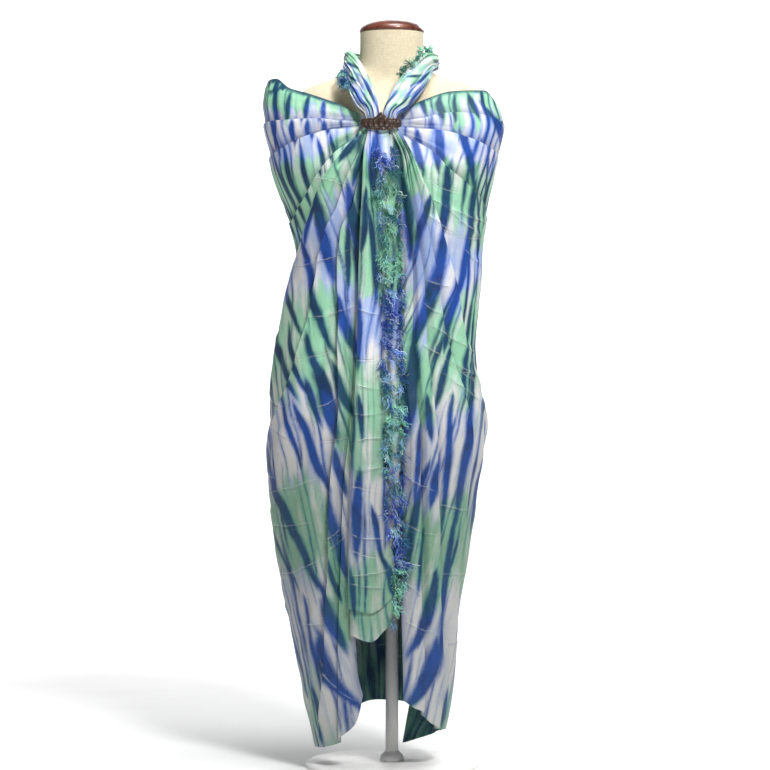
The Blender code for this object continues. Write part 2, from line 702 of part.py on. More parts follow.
def make_form():
    turn = np.linspace(0, 2 * math.pi, FORM_SIDES, endpoint=False)
    rings = []
    for height, half, ahead, behind in FORM:
        depth = np.where(np.cos(turn) > 0, ahead, behind)
        x = half * power(np.sin(turn), FORM_SQUARENESS)
        y = -depth * power(np.cos(turn), FORM_SQUARENESS)
        rings.append(np.stack([x, y, np.full_like(x, height)], -1))
    tube("dress_form", rings, "form")
    dome = [(CAP_RADIUS * 0.97, CAP_BOTTOM)]
    for lift in range(0, 90, 15):
        turn = math.radians(lift)
        dome.append((CAP_RADIUS * math.cos(turn) ** 0.9, CAP_BOTTOM + 0.003 + (CAP_HEIGHT - 0.003) * math.sin(turn)))
    turned("neck_cap", dome, "cap", centre=(0.0, 0.0025))


def make_stand():
    plate = [(BASE_RADIUS, 0.0), (BASE_RADIUS, 0.004), (BASE_RADIUS - 0.005, BASE_HEIGHT)]
    turned("base", plate, "stand", sides=40)
    bottom, top = BASE_HEIGHT + SEAM, FORM[0][0] - SEAM
    post = [
        (POLE_RADIUS * 1.9, bottom),
        (POLE_RADIUS * 1.7, bottom + 0.010),
        (POLE_RADIUS, bottom + 0.016),
        (POLE_RADIUS, top - 0.008),
        (POLE_RADIUS * 2.2, top - 0.008),
        (POLE_RADIUS * 2.2, top),
    ]
    turned("pole", post, "stand", sides=20)


def main():
    for old in list(bpy.data.objects):
        bpy.data.objects.remove(old, do_unlink=True)
    make_form()
    make_stand()
    make_wrap()
    make_drape("left_drape", LEFT_DRAPE, LEFT_HEM, LEFT_PLEATS)
    make_drape("right_drape", RIGHT_DRAPE, RIGHT_HEM, RIGHT_PLEATS)
    make_flap("front_flap", FRONT_FLAP, FRONT_FLAP_HEM, FRONT_FLAP_OFF)
    make_flap("under_flap", UNDER_FLAP, UNDER_FLAP_HEM, UNDER_FLAP_OFF)
    make_strap("left_strap", LEFT_STRAP)
    make_strap("right_strap", RIGHT_STRAP)
    make_nape()
    make_ring()
    for row in FRINGES:
        make_flap_fringe(*row)
    for row in STRAP_FRINGES:
        make_strap_fringe(*row)


main()
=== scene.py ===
"""The looks of a sarong worn as a halter wrap on a dress form, in metres, +Z up, the front facing -Y.

Each sheet of cloth is a fine thin shell on the form of its plain solid, with the same tables as the solid.
Its dye is kept in each point as how near a streak is, how green the band is and how pale it is.
"""

import math

import bpy
import numpy as np
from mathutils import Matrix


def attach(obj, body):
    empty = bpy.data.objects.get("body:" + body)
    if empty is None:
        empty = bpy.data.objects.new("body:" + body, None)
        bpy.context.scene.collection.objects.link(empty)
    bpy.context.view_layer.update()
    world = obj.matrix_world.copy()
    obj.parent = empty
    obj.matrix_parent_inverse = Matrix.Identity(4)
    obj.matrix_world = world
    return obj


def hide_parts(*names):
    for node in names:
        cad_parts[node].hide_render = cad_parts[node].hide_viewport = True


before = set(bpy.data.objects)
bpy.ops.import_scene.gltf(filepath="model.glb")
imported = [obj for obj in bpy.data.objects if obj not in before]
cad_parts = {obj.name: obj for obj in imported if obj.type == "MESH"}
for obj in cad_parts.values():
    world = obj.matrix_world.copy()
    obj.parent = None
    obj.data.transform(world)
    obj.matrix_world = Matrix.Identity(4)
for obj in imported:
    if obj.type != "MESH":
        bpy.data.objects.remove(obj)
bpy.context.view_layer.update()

# Thickness of the cloth
THICK = 0.0008

# The tables hold places as the viewer sees them, from this far in front and at this X and Z.
# Points in front of the axis are nearer to the viewer, and look larger, so they are brought in to real size.
VIEWER = (-0.012, -4.5, 0.658)
LENS = 121.6  # millimetres, on a film of this width
FILM = 36.0

# Outline of the cloth round the figure
OUTLINE = (
    # height, middle (X), half width, front, back (distances from the axis)
    (0.0, -0.0235, 0.0885, 0.1, 0.078),
    (0.05, -0.0245, 0.0995, 0.104, 0.083),
    (0.134, -0.0245, 0.1175, 0.112, 0.092),
    (0.3, -0.0305, 0.1405, 0.125, 0.108),
    (0.466, -0.0295, 0.1645, 0.137, 0.126),
    (0.59, -0.0235, 0.1755, 0.142, 0.134),
    (0.715, -0.0245, 0.1665, 0.138, 0.127),
    (0.798, -0.0135, 0.1605, 0.136, 0.114),
    (0.868, -0.0045, 0.157, 0.138, 0.105),
    (0.943, -0.008, 0.168, 0.147, 0.107),
    (1.026, -0.015, 0.19, 0.147, 0.112),
    (1.068, -0.013, 0.199, 0.133, 0.112),
    (1.11, -0.013, 0.206, 0.111, 0.107),
    (1.15, -0.02, 0.203, 0.084, 0.096),
    (1.2, -0.018, 0.196, 0.044, 0.08),
)
SQUARENESS = 0.88  # power of sine and cosine in a section: 1 is an ellipse
MEAN_HALF = (0.17, 0.13)  # half width and half depth of the section that distances round are measured on

# The wrap, from the ring the long way round the back to the ring
WRAP = (
    # angle, heights of: top edge, level ridge, second fold, steep fold, lower edge
    (-4.5, 1.119, 1.114, 1.108, 1.102, 1.096),
    (-20, 1.147, 1.116, 1.102, 1.068, 1.004),
    (-35, 1.162, 1.115, 1.091, 1.016, 0.93),
    (-50, 1.172, 1.113, 1.076, 0.975, 0.88),
    (-66, 1.188, 1.111, 1.06, 0.95, 0.79),
    (-80, 1.186, 1.109, 1.051, 0.935, 0.33),
    (-90, 1.18, 1.108, 1.047, 0.925, 0.062),
    (-130, 1.166, 1.096, 1.03, 0.91, 0.06),
    (-180, 1.15, 1.088, 1.01, 0.9, 0.104),
    (-230, 1.152, 1.092, 1.02, 0.91, 0.092),
    (-270, 1.142, 1.104, 1.045, 0.95, 0.07),
    (-284, 1.154, 1.112, 1.054, 0.965, 0.12),
    (-298, 1.168, 1.12, 1.066, 0.985, 0.42),
    (-312, 1.168, 1.125, 1.08, 1.006, 0.65),
    (-326, 1.166, 1.127, 1.092, 1.03, 0.8),
    (-340, 1.153, 1.122, 1.1, 1.066, 0.93),
    (-359.5, 1.119, 1.114, 1.108, 1.102, 1.096),
)
WRAP_PLEATS = (0.0, 0.007, 0.008, 0.005)  # height of the pleat that each fold line starts
WRAP_SEAT = 0.001
WRAP_TURNS = (-4.5, -80, -284, -359.5)
BACK_FOLDS = 9
BACK_FOLD_HEIGHT = 0.006
WRAP_LIP = 0.009  # height of the steep side of a pleat
WRAP_CELLS = (82, 156, 82)  # columns over the left front, the back and the right front
WRAP_BANDS = (14, 18, 22, 94)  # rows between the fold lines
WRAP_CROWDING = 1.15
PLEATS_END = 66  # degrees from the wrap's ends where its pleats start to fade, and where their painted shade does
SHADE_END = 60
FRONT_FADE = 40

# The two drapes that fall from the ring
LEFT_DRAPE = (
    # height, angles of: outer edge, side fold, long fold, crease, inner edge
    (0.03, -140, -125, -60, -34, 5),
    (0.168, -140, -122, -38, -26, -13),
    (0.355, -135, -110, -25, -17, -8),
    (0.537, -128, -88, -20, -13, -6),
    (0.62, -122, -62, -17.5, -11, -5.5),
    (0.7, -114, -48, -18, -10, -5),
    (0.78, -100, -42, -21, -11, -5),
    (0.862, -78, -42, -27, -12, -6),
    (0.921, -56, -34, -23, -11, -6),
    (0.971, -41, -22, -14, -8, -5),
    (1.038, -24, -13, -8, -5, -3),
    (1.108, -6.7, -5.6, -4.4, -3.2, -1.8),
)
LEFT_HEM = (0.062, 0.04, 0.031, 0.04, 0.122)
LEFT_PLEATS = (0.0, 0.009, 0.01, 0.004)
RIGHT_DRAPE = (
    (0.03, 157, 82, 62, 40, 21),
    (0.168, 150, 74, 52, 33, 17),
    (0.355, 138, 64, 40, 26, 15.5),
    (0.537, 116, 58, 30, 20, 12.5),
    (0.6, 96, 54, 27.5, 18, 11),
    (0.69, 70, 44, 25, 16, 8.5),
    (0.757, 55, 35, 22.5, 14.5, 7),
    (0.8, 48, 30, 20, 13, 6.5),
    (0.862, 38.5, 24, 16, 10.5, 5.5),
    (0.921, 31, 19.5, 13, 8.5, 4.5),
    (0.971, 24.5, 16, 11, 7, 4),
    (1.038, 14.5, 11.5, 9, 6, 3),
    (1.108, 3.8, 2.7, 1.6, 0.5, -0.8),
)
RIGHT_HEM = (0.028, 0.062, 0.064, 0.088, 0.112)
RIGHT_PLEATS = (0.0, 0.007, 0.009, 0.005)
DRAPE_TOP = 1.1055
DRAPE_SPREAD = (0.0, 0.15, 0.37, 0.66, 1.0)  # share of the drop at each quarter of the rows
DRAPE_OFF = 0.0095  # how far the drapes stand off the wrap
DRAPE_GATHER = 0.018  # and the same at the ring
DRAPE_TUCK = 0.002
DRAPE_LIP = 0.16
DRAPE_BRIDGE = 0.0045
WAIST = 0.825
GATHER_REACH = 0.06
LEFT_CELLS = (72, 72, 28, 18)  # columns between the fold lines
RIGHT_CELLS = (70, 60, 34, 26)
DRAPE_ROWS = 240
DEGREE = 0.0029  # length of one degree round the body
USUAL_COLUMN = 0.0022  # columns up to this wide need no softer streaks

# The two fringed ends that hang at the centre
FRONT_FLAP = (
    # height, left edge and right edge (X)
    (0.262, -0.07, -0.001),
    (0.31, -0.0715, 0.001),
    (0.469, -0.069, -0.011),
    (0.577, -0.065, -0.014),
    (0.667, -0.06, -0.0155),
    (0.833, -0.053, -0.017),
    (0.978, -0.049, -0.021),
    (1.065, -0.046, -0.024),
    (1.108, -0.037, -0.022),
)
FRONT_FLAP_HEM = (0.271, 0.263, 0.295)  # at its left edge, middle and right edge
UNDER_FLAP = (
    (0.215, -0.068, -0.008),
    (0.31, -0.069, 0.004),
    (0.469, -0.066, 0.012),
    (0.667, -0.055, 0.013),
    (0.833, -0.046, 0.012),
    (0.978, -0.044, 0.008),
    (1.065, -0.042, 0.0),
    (1.108, -0.038, -0.006),
)
UNDER_FLAP_HEM = (0.225, 0.213, 0.24)
UNDER_FLAP_OFF = (0.0262, 0.0184)  # off the wrap, at the ring and below
FRONT_FLAP_OFF = (0.0303, 0.024)
FLAP_WAVE = 0.0016
FLAP_REACH = 0.15
FLAP_CELLS = (34, 270)  # columns and rows

# Halter straps, from the ring up and round to the nape
LEFT_STRAP = (
    # X, Y, Z, half width, half thickness
    (-0.0328, -0.1345, 1.093, 0.0115, 0.0105),
    (-0.0336, -0.134, 1.11, 0.012, 0.0105),
    (-0.044, -0.117, 1.137, 0.019, 0.0105),
    (-0.0595, -0.087, 1.174, 0.0215, 0.0095),
    (-0.0735, -0.045, 1.21, 0.0195, 0.009),
    (-0.074, 0.002, 1.218, 0.0175, 0.0088),
    (-0.056, 0.05, 1.22, 0.0165, 0.0085),
    (-0.027, 0.07, 1.22, 0.0145, 0.008),
    (-0.0112, 0.074, 1.2195, 0.011, 0.007),
)
RIGHT_STRAP = (
    (-0.006, -0.1345, 1.093, 0.011, 0.0105),
    (-0.0042, -0.134, 1.11, 0.012, 0.0105),
    (0.013, -0.116, 1.137, 0.02, 0.0105),
    (0.0365, -0.086, 1.173, 0.022, 0.0095),
    (0.062, -0.049, 1.2095, 0.0185, 0.0088),
    (0.0731, 0.002, 1.2163, 0.0154, 0.0086),
    (0.0558, 0.05, 1.2195, 0.0155, 0.0085),
    (0.027, 0.07, 1.22, 0.0145, 0.008),
    (0.0112, 0.074, 1.2195, 0.011, 0.007),
)
STRAP_STATIONS = 140
STRAP_SIDES = 84

# Knot at the nape and its two tails
KNOT_CENTRE = (0.0, 0.077, 1.2195)
KNOT_HALF = (0.011, 0.0135, 0.018)
TAILS = (
    # X at the top and at the tip, height of the tip
    (-0.006, -0.017, 1.156),
    (0.0062, 0.02, 1.162),
)
TAIL_HALF = (0.0045, 0.012)
TAIL_Y = 0.08
KNOT_CELLS = (64, 44)  # points round, and rings
TAIL_CELLS = (60, 26)  # rows and columns

# Carved ring that gathers the cloth
RING_CENTRE = (-0.0188, -0.1345, 1.0974)
RING_HALF = (0.035, 0.02)
RING_WALL = 0.0042
RING_PEAK = 0.009
RING_PEAK_WIDTH = 0.0075
RING_LOBES = 9
RING_LOBE_DEPTH = 0.001
RING_GROOVE = 0.0007
RING_SIDES = 360

# Dress form
FORM = (
    # height, half width, front, back
    (0.56, 0.108, 0.086, 0.086),
    (0.572, 0.122, 0.1, 0.1),
    (0.62, 0.13, 0.11, 0.112),
    (0.69, 0.13, 0.112, 0.108),
    (0.78, 0.126, 0.106, 0.094),
    (0.868, 0.12, 0.102, 0.083),
    (0.943, 0.135, 0.116, 0.089),
    (1.005, 0.154, 0.128, 0.096),
    (1.05, 0.166, 0.119, 0.098),
    (1.09, 0.174, 0.102, 0.094),
    (1.12, 0.176, 0.084, 0.086),
    (1.14, 0.173, 0.072, 0.078),
    (1.155, 0.166, 0.063, 0.072),
    (1.166, 0.154, 0.057, 0.068),
    (1.175, 0.137, 0.053, 0.065),
    (1.182, 0.116, 0.051, 0.062),
    (1.19, 0.088, 0.05, 0.06),
    (1.201, 0.064, 0.05, 0.058),
    (1.22, 0.057, 0.05, 0.057),
    (1.245, 0.055, 0.051, 0.057),
    (1.266, 0.055, 0.052, 0.057),
)
FORM_SQUARENESS = 0.92
FORM_CELLS = (120, 96)  # rings and points round
CAP_BOTTOM = 1.2664
CAP_HEIGHT = 0.022
CAP_RADIUS = 0.0565
POLE_RADIUS = 0.011
BASE_RADIUS = 0.15
BASE_HEIGHT = 0.009
# How far in from the rim, and height
BASE_PROFILE = ((0.001, 0.0), (0, 0.0008), (0, 0.004), (0.0015, 0.0062), (0.006, 0.0087), (0.01, BASE_HEIGHT))
JOINT_GAP = 0.0004  # between the pole and what it meets
# The pole's collars: share of its radius, and distance from its end
POLE_FOOT = ((1.9, 0.0), (1.88, 0.004), (1.7, 0.01), (1.2, 0.014), (1.0, 0.018))
POLE_TOP = ((1.0, 0.01), (2.1, 0.008), (2.2, 0.006), (2.2, 0.0))

# Relief that only the fine sheets have

# Gathers that run out from the ring, across a drape's folds (0 is its outer edge, 4 its inner)
LEFT_GATHERS = (
    # place across, width, height, reach down
    (0.35, 0.16, 0.0022, 0.16),
    (0.72, 0.12, 0.0016, 0.26),
    (1.45, 0.13, 0.002, 0.2),
    (1.78, 0.09, -0.0014, 0.34),
    (2.4, 0.12, 0.0022, 0.24),
    (2.72, 0.09, 0.0012, 0.15),
    (3.35, 0.14, 0.0018, 0.3),
    (3.75, 0.1, -0.0012, 0.22),
)
RIGHT_GATHERS = (
    (0.28, 0.13, 0.002, 0.22),
    (0.66, 0.15, 0.0024, 0.15),
    (1.38, 0.1, 0.0016, 0.3),
    (1.7, 0.13, 0.0021, 0.18),
    (2.36, 0.15, 0.002, 0.28),
    (2.8, 0.08, -0.0014, 0.2),
    (3.42, 0.12, 0.002, 0.26),
    (3.78, 0.09, 0.0011, 0.14),
)
# The same across the wrap's chest, where reach is in degrees from the ring
WRAP_GATHERS = (
    # side (-1 is the left front), place across, width, height, reach
    (-1, 0.22, 0.11, 0.0018, 44),
    (-1, 0.55, 0.13, 0.0022, 60),
    (-1, 0.82, 0.08, -0.0012, 36),
    (-1, 1.42, 0.14, 0.002, 52),
    (-1, 1.76, 0.1, 0.0012, 70),
    (-1, 2.45, 0.16, 0.0024, 46),
    (-1, 2.8, 0.09, -0.0014, 38),
    (-1, 3.3, 0.12, 0.0016, 40),
    (1, 0.3, 0.12, 0.002, 56),
    (1, 0.64, 0.1, 0.0015, 40),
    (1, 1.36, 0.11, 0.0018, 64),
    (1, 1.66, 0.08, -0.0013, 48),
    (1, 2.38, 0.15, 0.0024, 50),
    (1, 2.74, 0.1, 0.0014, 72),
    (1, 3.28, 0.12, 0.0018, 34),
    (1, 3.66, 0.1, -0.0012, 44),
)
# Long narrow folds that hang down the wrap
UPRIGHT_FOLDS = (
    # angle at the top and bottom, width (degrees), height, top, bottom
    (-76, -82, 1.6, 0.0026, 1.05, 0.62),
    (-83, -88, 2.0, -0.0022, 1.08, 0.55),
    (-92, -99, 2.6, 0.003, 1.04, 0.3),
    (-107, -104, 2.2, 0.0024, 0.98, 0.14),
    (-121, -126, 3.0, 0.0034, 1.02, 0.1),
    (-140, -137, 2.4, -0.0024, 0.95, 0.2),
    (-156, -161, 3.2, 0.0032, 0.9, 0.1),
    (-173, -170, 2.2, 0.0026, 1.0, 0.42),
    (-188, -193, 2.8, 0.003, 0.93, 0.1),
    (-207, -203, 2.4, -0.0026, 0.98, 0.16),
    (-223, -229, 3.0, 0.0034, 0.96, 0.12),
    (-241, -238, 2.2, 0.0024, 1.04, 0.34),
    (-254, -258, 2.4, 0.003, 1.02, 0.1),
    (-264, -265, 1.6, -0.0024, 1.05, 0.3),
    (-271, -273, 1.5, 0.0028, 1.08, 0.16),
    (-278, -279, 1.4, -0.0024, 1.09, 0.42),
    (-284, -285, 1.5, 0.0026, 1.06, 0.5),
    (-291, -289, 1.4, 0.0018, 1.02, 0.6),
)
# Long soft folds of the drapes' own fall
DRAPE_FOLDS = (
    # side, place across at the top and bottom, width, height, top, bottom
    (-1, 0.55, 0.45, 0.1, 0.0026, 0.8, 0.06),
    (-1, 0.8, 0.76, 0.06, -0.0018, 0.62, 0.1),
    (-1, 1.32, 1.4, 0.07, 0.0022, 0.72, 0.24),
    (-1, 1.62, 1.55, 0.1, -0.002, 0.86, 0.1),
    (-1, 1.88, 1.8, 0.05, 0.002, 0.5, 0.05),
    (-1, 2.45, 2.62, 0.12, 0.0024, 0.9, 0.2),
    (-1, 2.8, 2.72, 0.09, -0.0016, 0.6, 0.12),
    (-1, 3.4, 3.5, 0.14, 0.0018, 0.88, 0.3),
    (1, 0.3, 0.42, 0.07, 0.0024, 0.7, 0.08),
    (1, 0.62, 0.7, 0.06, 0.0022, 0.62, 0.12),
    (1, 0.88, 0.84, 0.05, -0.0018, 0.56, 0.06),
    (1, 1.45, 1.36, 0.09, 0.0022, 0.84, 0.16),
    (1, 1.8, 1.86, 0.08, -0.0018, 0.7, 0.3),
    (1, 2.42, 2.55, 0.12, 0.0024, 0.92, 0.12),
    (1, 2.78, 2.7, 0.08, -0.0016, 0.64, 0.2),
    (1, 3.45, 3.38, 0.14, 0.0018, 0.9, 0.16),
)
# Sharp creases left from storing the cloth folded, with both ends as seen from the front
CREASES = (
    # in millimetres: X, Z of one end and the other, sag of the middle, height, width
    (56, 985, 180, 935, 10, 1.1, 2.2),
    (84, 972, 190, 905, 12, 1.2, 2.4),
    (62, 938, 158, 915, 14, -0.9, 2.2),
    (58, 955, 116, 918, 4, 1, 2.2),
    (120, 895, 184, 868, 10, 1.2, 2.4),
    (52, 842, 96, 828, 3, 0.9, 2),
    (48, 800, 82, 782, 3, 1, 2.2),
    (56, 766, 160, 708, 10, 1.2, 2.4),
    (40, 735, 140, 672, 8, 1.2, 2.2),
    (70, 712, 164, 640, 6, -1, 2.2),
    (75, 682, 152, 622, 10, 1.1, 2.4),
    (-160, 865, -60, 895, 10, 1, 2.4),
    (-150, 775, -52, 800, 8, 1.1, 2.2),
    (-168, 702, -92, 722, 6, -1, 2.2),
    (-206, 470, -112, 500, 6, 1, 2.4),
    (-196, 334, -110, 362, 12, 1.3, 2.4),
    (-205, 418, -128, 422, 6, -0.8, 2.2),
    (-114, 382, -70, 432, 4, 1.2, 2.2),
    (-108, 368, -68, 412, 3, -1, 2.2),
    (-150, 245, -100, 250, 4, 0.9, 2.2),
    (-120, 190, -55, 108, 12, 1, 2.6),
    (-130, 618, -86, 640, 3, 1, 2.2),
    (-122, 560, -68, 572, 4, -0.9, 2.2),
    (14, 510, 70, 474, 6, 1.2, 2.4),
    (22, 420, 72, 398, 5, -0.9, 2.2),
    (10, 330, 52, 290, 4, 1, 2.2),
    (18, 252, 64, 232, 6, 1, 2.2),
    (74, 332, 128, 334, 2, 1.3, 2.4),
    (76, 452, 126, 444, 5, 0.9, 2.2),
    (80, 214, 118, 218, 2, 0.9, 2),
    (-70, 1000, -140, 1018, 4, 1, 2.4),
    (60, 1016, 120, 990, 6, -1, 2.4),
    (-66, 608, -10, 612, 3, 1, 2),
    (-66, 556, -12, 566, -4, 0.9, 2),
    (-66, 513, -14, 517, 3, 1.1, 2),
    (-68, 483, -30, 478, 2, -0.8, 1.8),
    (-70, 400, -12, 392, 4, 1.2, 2),
    (-70, 372, -20, 360, 3, -1, 2),
    (-70, 330, -4, 342, 6, 1.2, 2.2),
    (-70, 316, -10, 308, 4, 1, 2),
    (-62, 660, -18, 652, 3, 0.9, 1.8),
    (-60, 700, -20, 706, 2, -0.8, 1.8),
    (-56, 790, -18, 782, 3, 0.9, 1.8),
)
CREASE_COUNT = 60  # more of them, spread round the sides and back
CREASE_SEED = 11
CREASE_FAR = 0.01

# Dye: streaks of the front, with both ends as seen
LEFT_STREAKS = (
    # in millimetres: X, Z of the top and the foot, how far its middle is off the straight line, half width
    (-128, 995, -95, 843, -5, 8.6),
    (-149, 916, -97, 715, -7, 6.1),
    (-168, 860, -149, 746, -3, 4.3),
    (-192, 784, -156, 639, -7, 6.9),
    (-137, 743, -95, 625, -5, 6.1),
    (-74, 1002, -54, 833, 2, 8.6),
    (-86, 809, -55, 708, -4, 6.9),
    (-40, 1082, -54, 961, 2, 6.9),
    (-199, 584, -112, 296, 2, 7.4),
    (-157, 623, -105, 476, -4, 6.1),
    (-126, 691, -93, 570, 1, 10.4),
    (-194, 450, -154, 307, -4, 3.5),
    (-105, 463, -74, 324, -2, 6.9),
    (-111, 296, -79, 203, -3, 8.6),
    (-187, 303, -135, 123, -2, 5.2),
    (-116, 224, -55, 101, -22, 10.4),
    (-143, 290, -116, 130, 1, 3),
    (-211, 570, -188, 418, -3, 3.5),
    (-214, 680, -204, 559, -2, 3.5),
    (-168, 760, -130, 629, -7, 4.3),
    (-140, 667, -119, 591, -2, 5.2),
    (-152, 117, -131, 33, -2, 3),
    (-128, 134, -105, 37, 0, 3.9),
    (-93, 546, -78, 469, -2, 5.2),
    (-98, 691, -66, 608, -2, 6.9),
    (-178, 646, -149, 511, -4, 3.5),
    (-173, 217, -154, 75, -1, 2.6),
    (-69, 952, -71, 822, -5, 3.5),
    (-102, 355, -86, 286, -1, 3.5),
    (-128, 971, -140, 902, -3, 4.3),
    (-52, 1090, -84, 1048, -2, 5.2),
    (-46, 1070, -66, 1006, -1, 4.5),
)
RIGHT_STREAKS = (
    (9, 1068, 28, 878, 7, 6.1),
    (85, 930, 33, 722, 0, 9.5),
    (35, 732, 17, 556, 2, 10.4),
    (111, 847, 81, 720, 0, 6.9),
    (64, 988, 36, 885, -3, 5.2),
    (57, 521, 17, 314, -4, 5.2),
    (68, 334, 26, 193, 9, 6.9),
    (66, 213, 23, 99, 9, 11.2),
    (130, 663, 99, 418, -2, 7.8),
    (99, 431, 71, 175, 0, 4.8),
    (94, 639, 81, 407, 2, 4.3),
    (55, 639, 62, 566, -2, 5.2),
    (78, 532, 59, 452, 0, 6.9),
    (94, 732, 71, 618, 1, 4.3),
    (123, 739, 114, 636, 2, 5.2),
    (149, 591, 140, 487, 1, 3.5),
    (121, 276, 92, 106, 1, 3),
    (16, 570, 16, 345, -2, 3.5),
    (85, 130, 74, 68, 0, 3.5),
    (45, 589, 35, 442, 0, 3.5),
    (135, 424, 113, 279, 0, 3),
    (49, 407, 40, 300, -1, 3.5),
    (104, 217, 90, 113, 0, 2.6),
    (18, 1092, 50, 1042, 2, 6.5),
    (4, 1078, 14, 1010, 1, 4.2),
)
FLAP_STREAKS = (
    (-67, 753, -66, 511, -1, 3.5),
    (-54, 507, -57, 362, -2, 6.9),
    (-33, 445, -15, 345, -1, 3.5),
    (-55, 639, -48, 563, -1, 4.3),
    (-14, 355, 2, 290, 0, 5.2),
    (-67, 340, -61, 258, -1, 4),
    (-41, 971, -29, 798, 0, 4.3),
    (-54, 805, -55, 687, 3, 4.3),
    (-15, 580, -15, 501, 2, 3.5),
    (-26, 1096, -31, 995, -1, 7.8),
    (-43, 995, -48, 892, 1, 4.3),
)
WRAP_STREAKS = (
    (-176, 1165, -180, 1118, 0, 4.3),
    (-145, 1158, -149, 1118, 0, 4.3),
    (-116, 1151, -119, 1116, 0, 3.5),
    (-195, 1116, -197, 1068, 1, 4.3),
    (-166, 1115, -168, 1078, -1, 4.3),
    (-138, 1115, -140, 1085, -1, 3.9),
    (-111, 1115, -114, 1092, 0, 3.5),
    (-185, 1071, -145, 940, -6, 4.8),
    (-159, 1071, -138, 971, -1, 4.3),
    (-131, 1082, -116, 1020, 0, 3.9),
    (-109, 1092, -98, 1047, -1, 3.5),
    (-209, 1054, -157, 902, -3, 4.3),
    (-214, 1037, -164, 867, -6, 3.5),
    (-201, 1065, -150, 919, -4, 3.5),
    (-218, 1155, -218, 1065, -4, 3.5),
    (71, 1113, 81, 1033, 1, 6.9),
    (83, 1155, 90, 1120, -1, 6.1),
    (133, 1161, 149, 1123, 2, 5.2),
    (161, 1137, 187, 1061, 0, 7.8),
    (111, 1099, 140, 999, 3, 6.1),
    (142, 1009, 100, 774, 1, 6.5),
    (97, 1037, 78, 902, 8, 6.9),
    (38, 1099, 55, 1030, -2, 5.2),
    (50, 1165, 57, 1127, 0, 4.3),
    (109, 1161, 113, 1113, 0, 3.5),
    (156, 1082, 154, 892, 4, 3),
    (170, 1071, 161, 909, 2, 2.6),
    (145, 995, 137, 805, 4, 3),
    (137, 812, 130, 656, 2, 3.9),
    (152, 822, 147, 646, 1, 3),
    (182, 1151, 189, 1071, 4, 3.5),
    (121, 1103, 132, 1020, -1, 2.6),
)
GREEN_STRIPS = (
    # the same columns, for green that runs down a fold
    (-60, 1097, -131, 1016, -1, 9.5),
    (-3, 1097, 36, 1006, 3, 10.4),
    (-83, 1065, -124, 978, -1, 8.6),
    (40, 1065, 100, 952, 1, 22.5),
    (-45, 978, -52, 822, -2, 8.6),
    (-10, 978, -3, 805, 0, 10.4),
    (-207, 1168, -214, 1120, 0, 8.6),
    (-159, 923, -159, 857, -7, 6.9),
)
# Bands of the dye from hem to neck
BANDS = (
    # height, how green, how pale
    (0.0, 0.6, 0.35),
    (0.06, 0.75, 0.35),
    (0.12, 0.55, 0.7),
    (0.17, 0.12, 0.85),
    (0.24, 0.05, 0.7),
    (0.29, 0.2, 0.75),
    (0.33, 0.85, 0.45),
    (0.38, 0.95, 0.25),
    (0.44, 0.85, 0.35),
    (0.48, 0.25, 0.8),
    (0.53, 0.05, 0.9),
    (0.59, 0.1, 0.92),
    (0.63, 0.75, 0.55),
    (0.69, 0.9, 0.35),
    (0.76, 0.95, 0.3),
    (0.8, 0.7, 0.45),
    (0.83, 0.1, 0.6),
    (0.87, 0.02, 0.35),
    (0.9, 0.15, 0.45),
    (0.93, 0.85, 0.4),
    (0.99, 1.0, 0.2),
    (1.03, 0.8, 0.4),
    (1.055, 0.15, 0.75),
    (1.09, 0.05, 0.6),
    (1.118, 0.1, 0.7),
    (1.135, 0.9, 0.15),
    (1.2, 1.0, 0.05),
)
# How green the straps are, from the ring (0) to the nape (1)
STRAP_GREEN = ((0, 0.1), (0.06, 0.1), (0.14, 0.4), (0.3, 0.3), (0.42, 0.4), (0.52, 0.9), (0.6, 0.3), (1, 0.6))
# Folds and streaks of the straps
STRAP_FOLDS = (
    # side, place across the strap at the ring, its middle and the nape, width, height
    (-1, -0.9, -0.94, -0.86, 0.08, 0.0024),
    (-1, -0.72, -0.74, -0.6, 0.07, 0.0034),
    (-1, -0.5, -0.44, -0.44, 0.15, 0.003),
    (-1, -0.22, -0.14, -0.24, 0.07, 0.004),
    (-1, 0.0, 0.14, 0.04, 0.12, 0.0026),
    (-1, 0.26, 0.4, 0.34, 0.08, 0.0038),
    (-1, 0.52, 0.62, 0.5, 0.11, 0.0028),
    (-1, 0.78, 0.88, 0.76, 0.07, 0.0036),
    (1, -0.9, -0.95, -0.84, 0.07, 0.0028),
    (1, -0.7, -0.78, -0.6, 0.08, 0.0036),
    (1, -0.34, -0.3, -0.3, 0.28, 0.003),
    (1, 0.1, 0.22, 0.06, 0.07, 0.0038),
    (1, 0.3, 0.4, 0.32, 0.06, 0.003),
    (1, 0.5, 0.6, 0.5, 0.08, 0.0038),
    (1, 0.7, 0.78, 0.7, 0.06, 0.0028),
    (1, 0.9, 0.95, 0.9, 0.07, 0.0034),
)
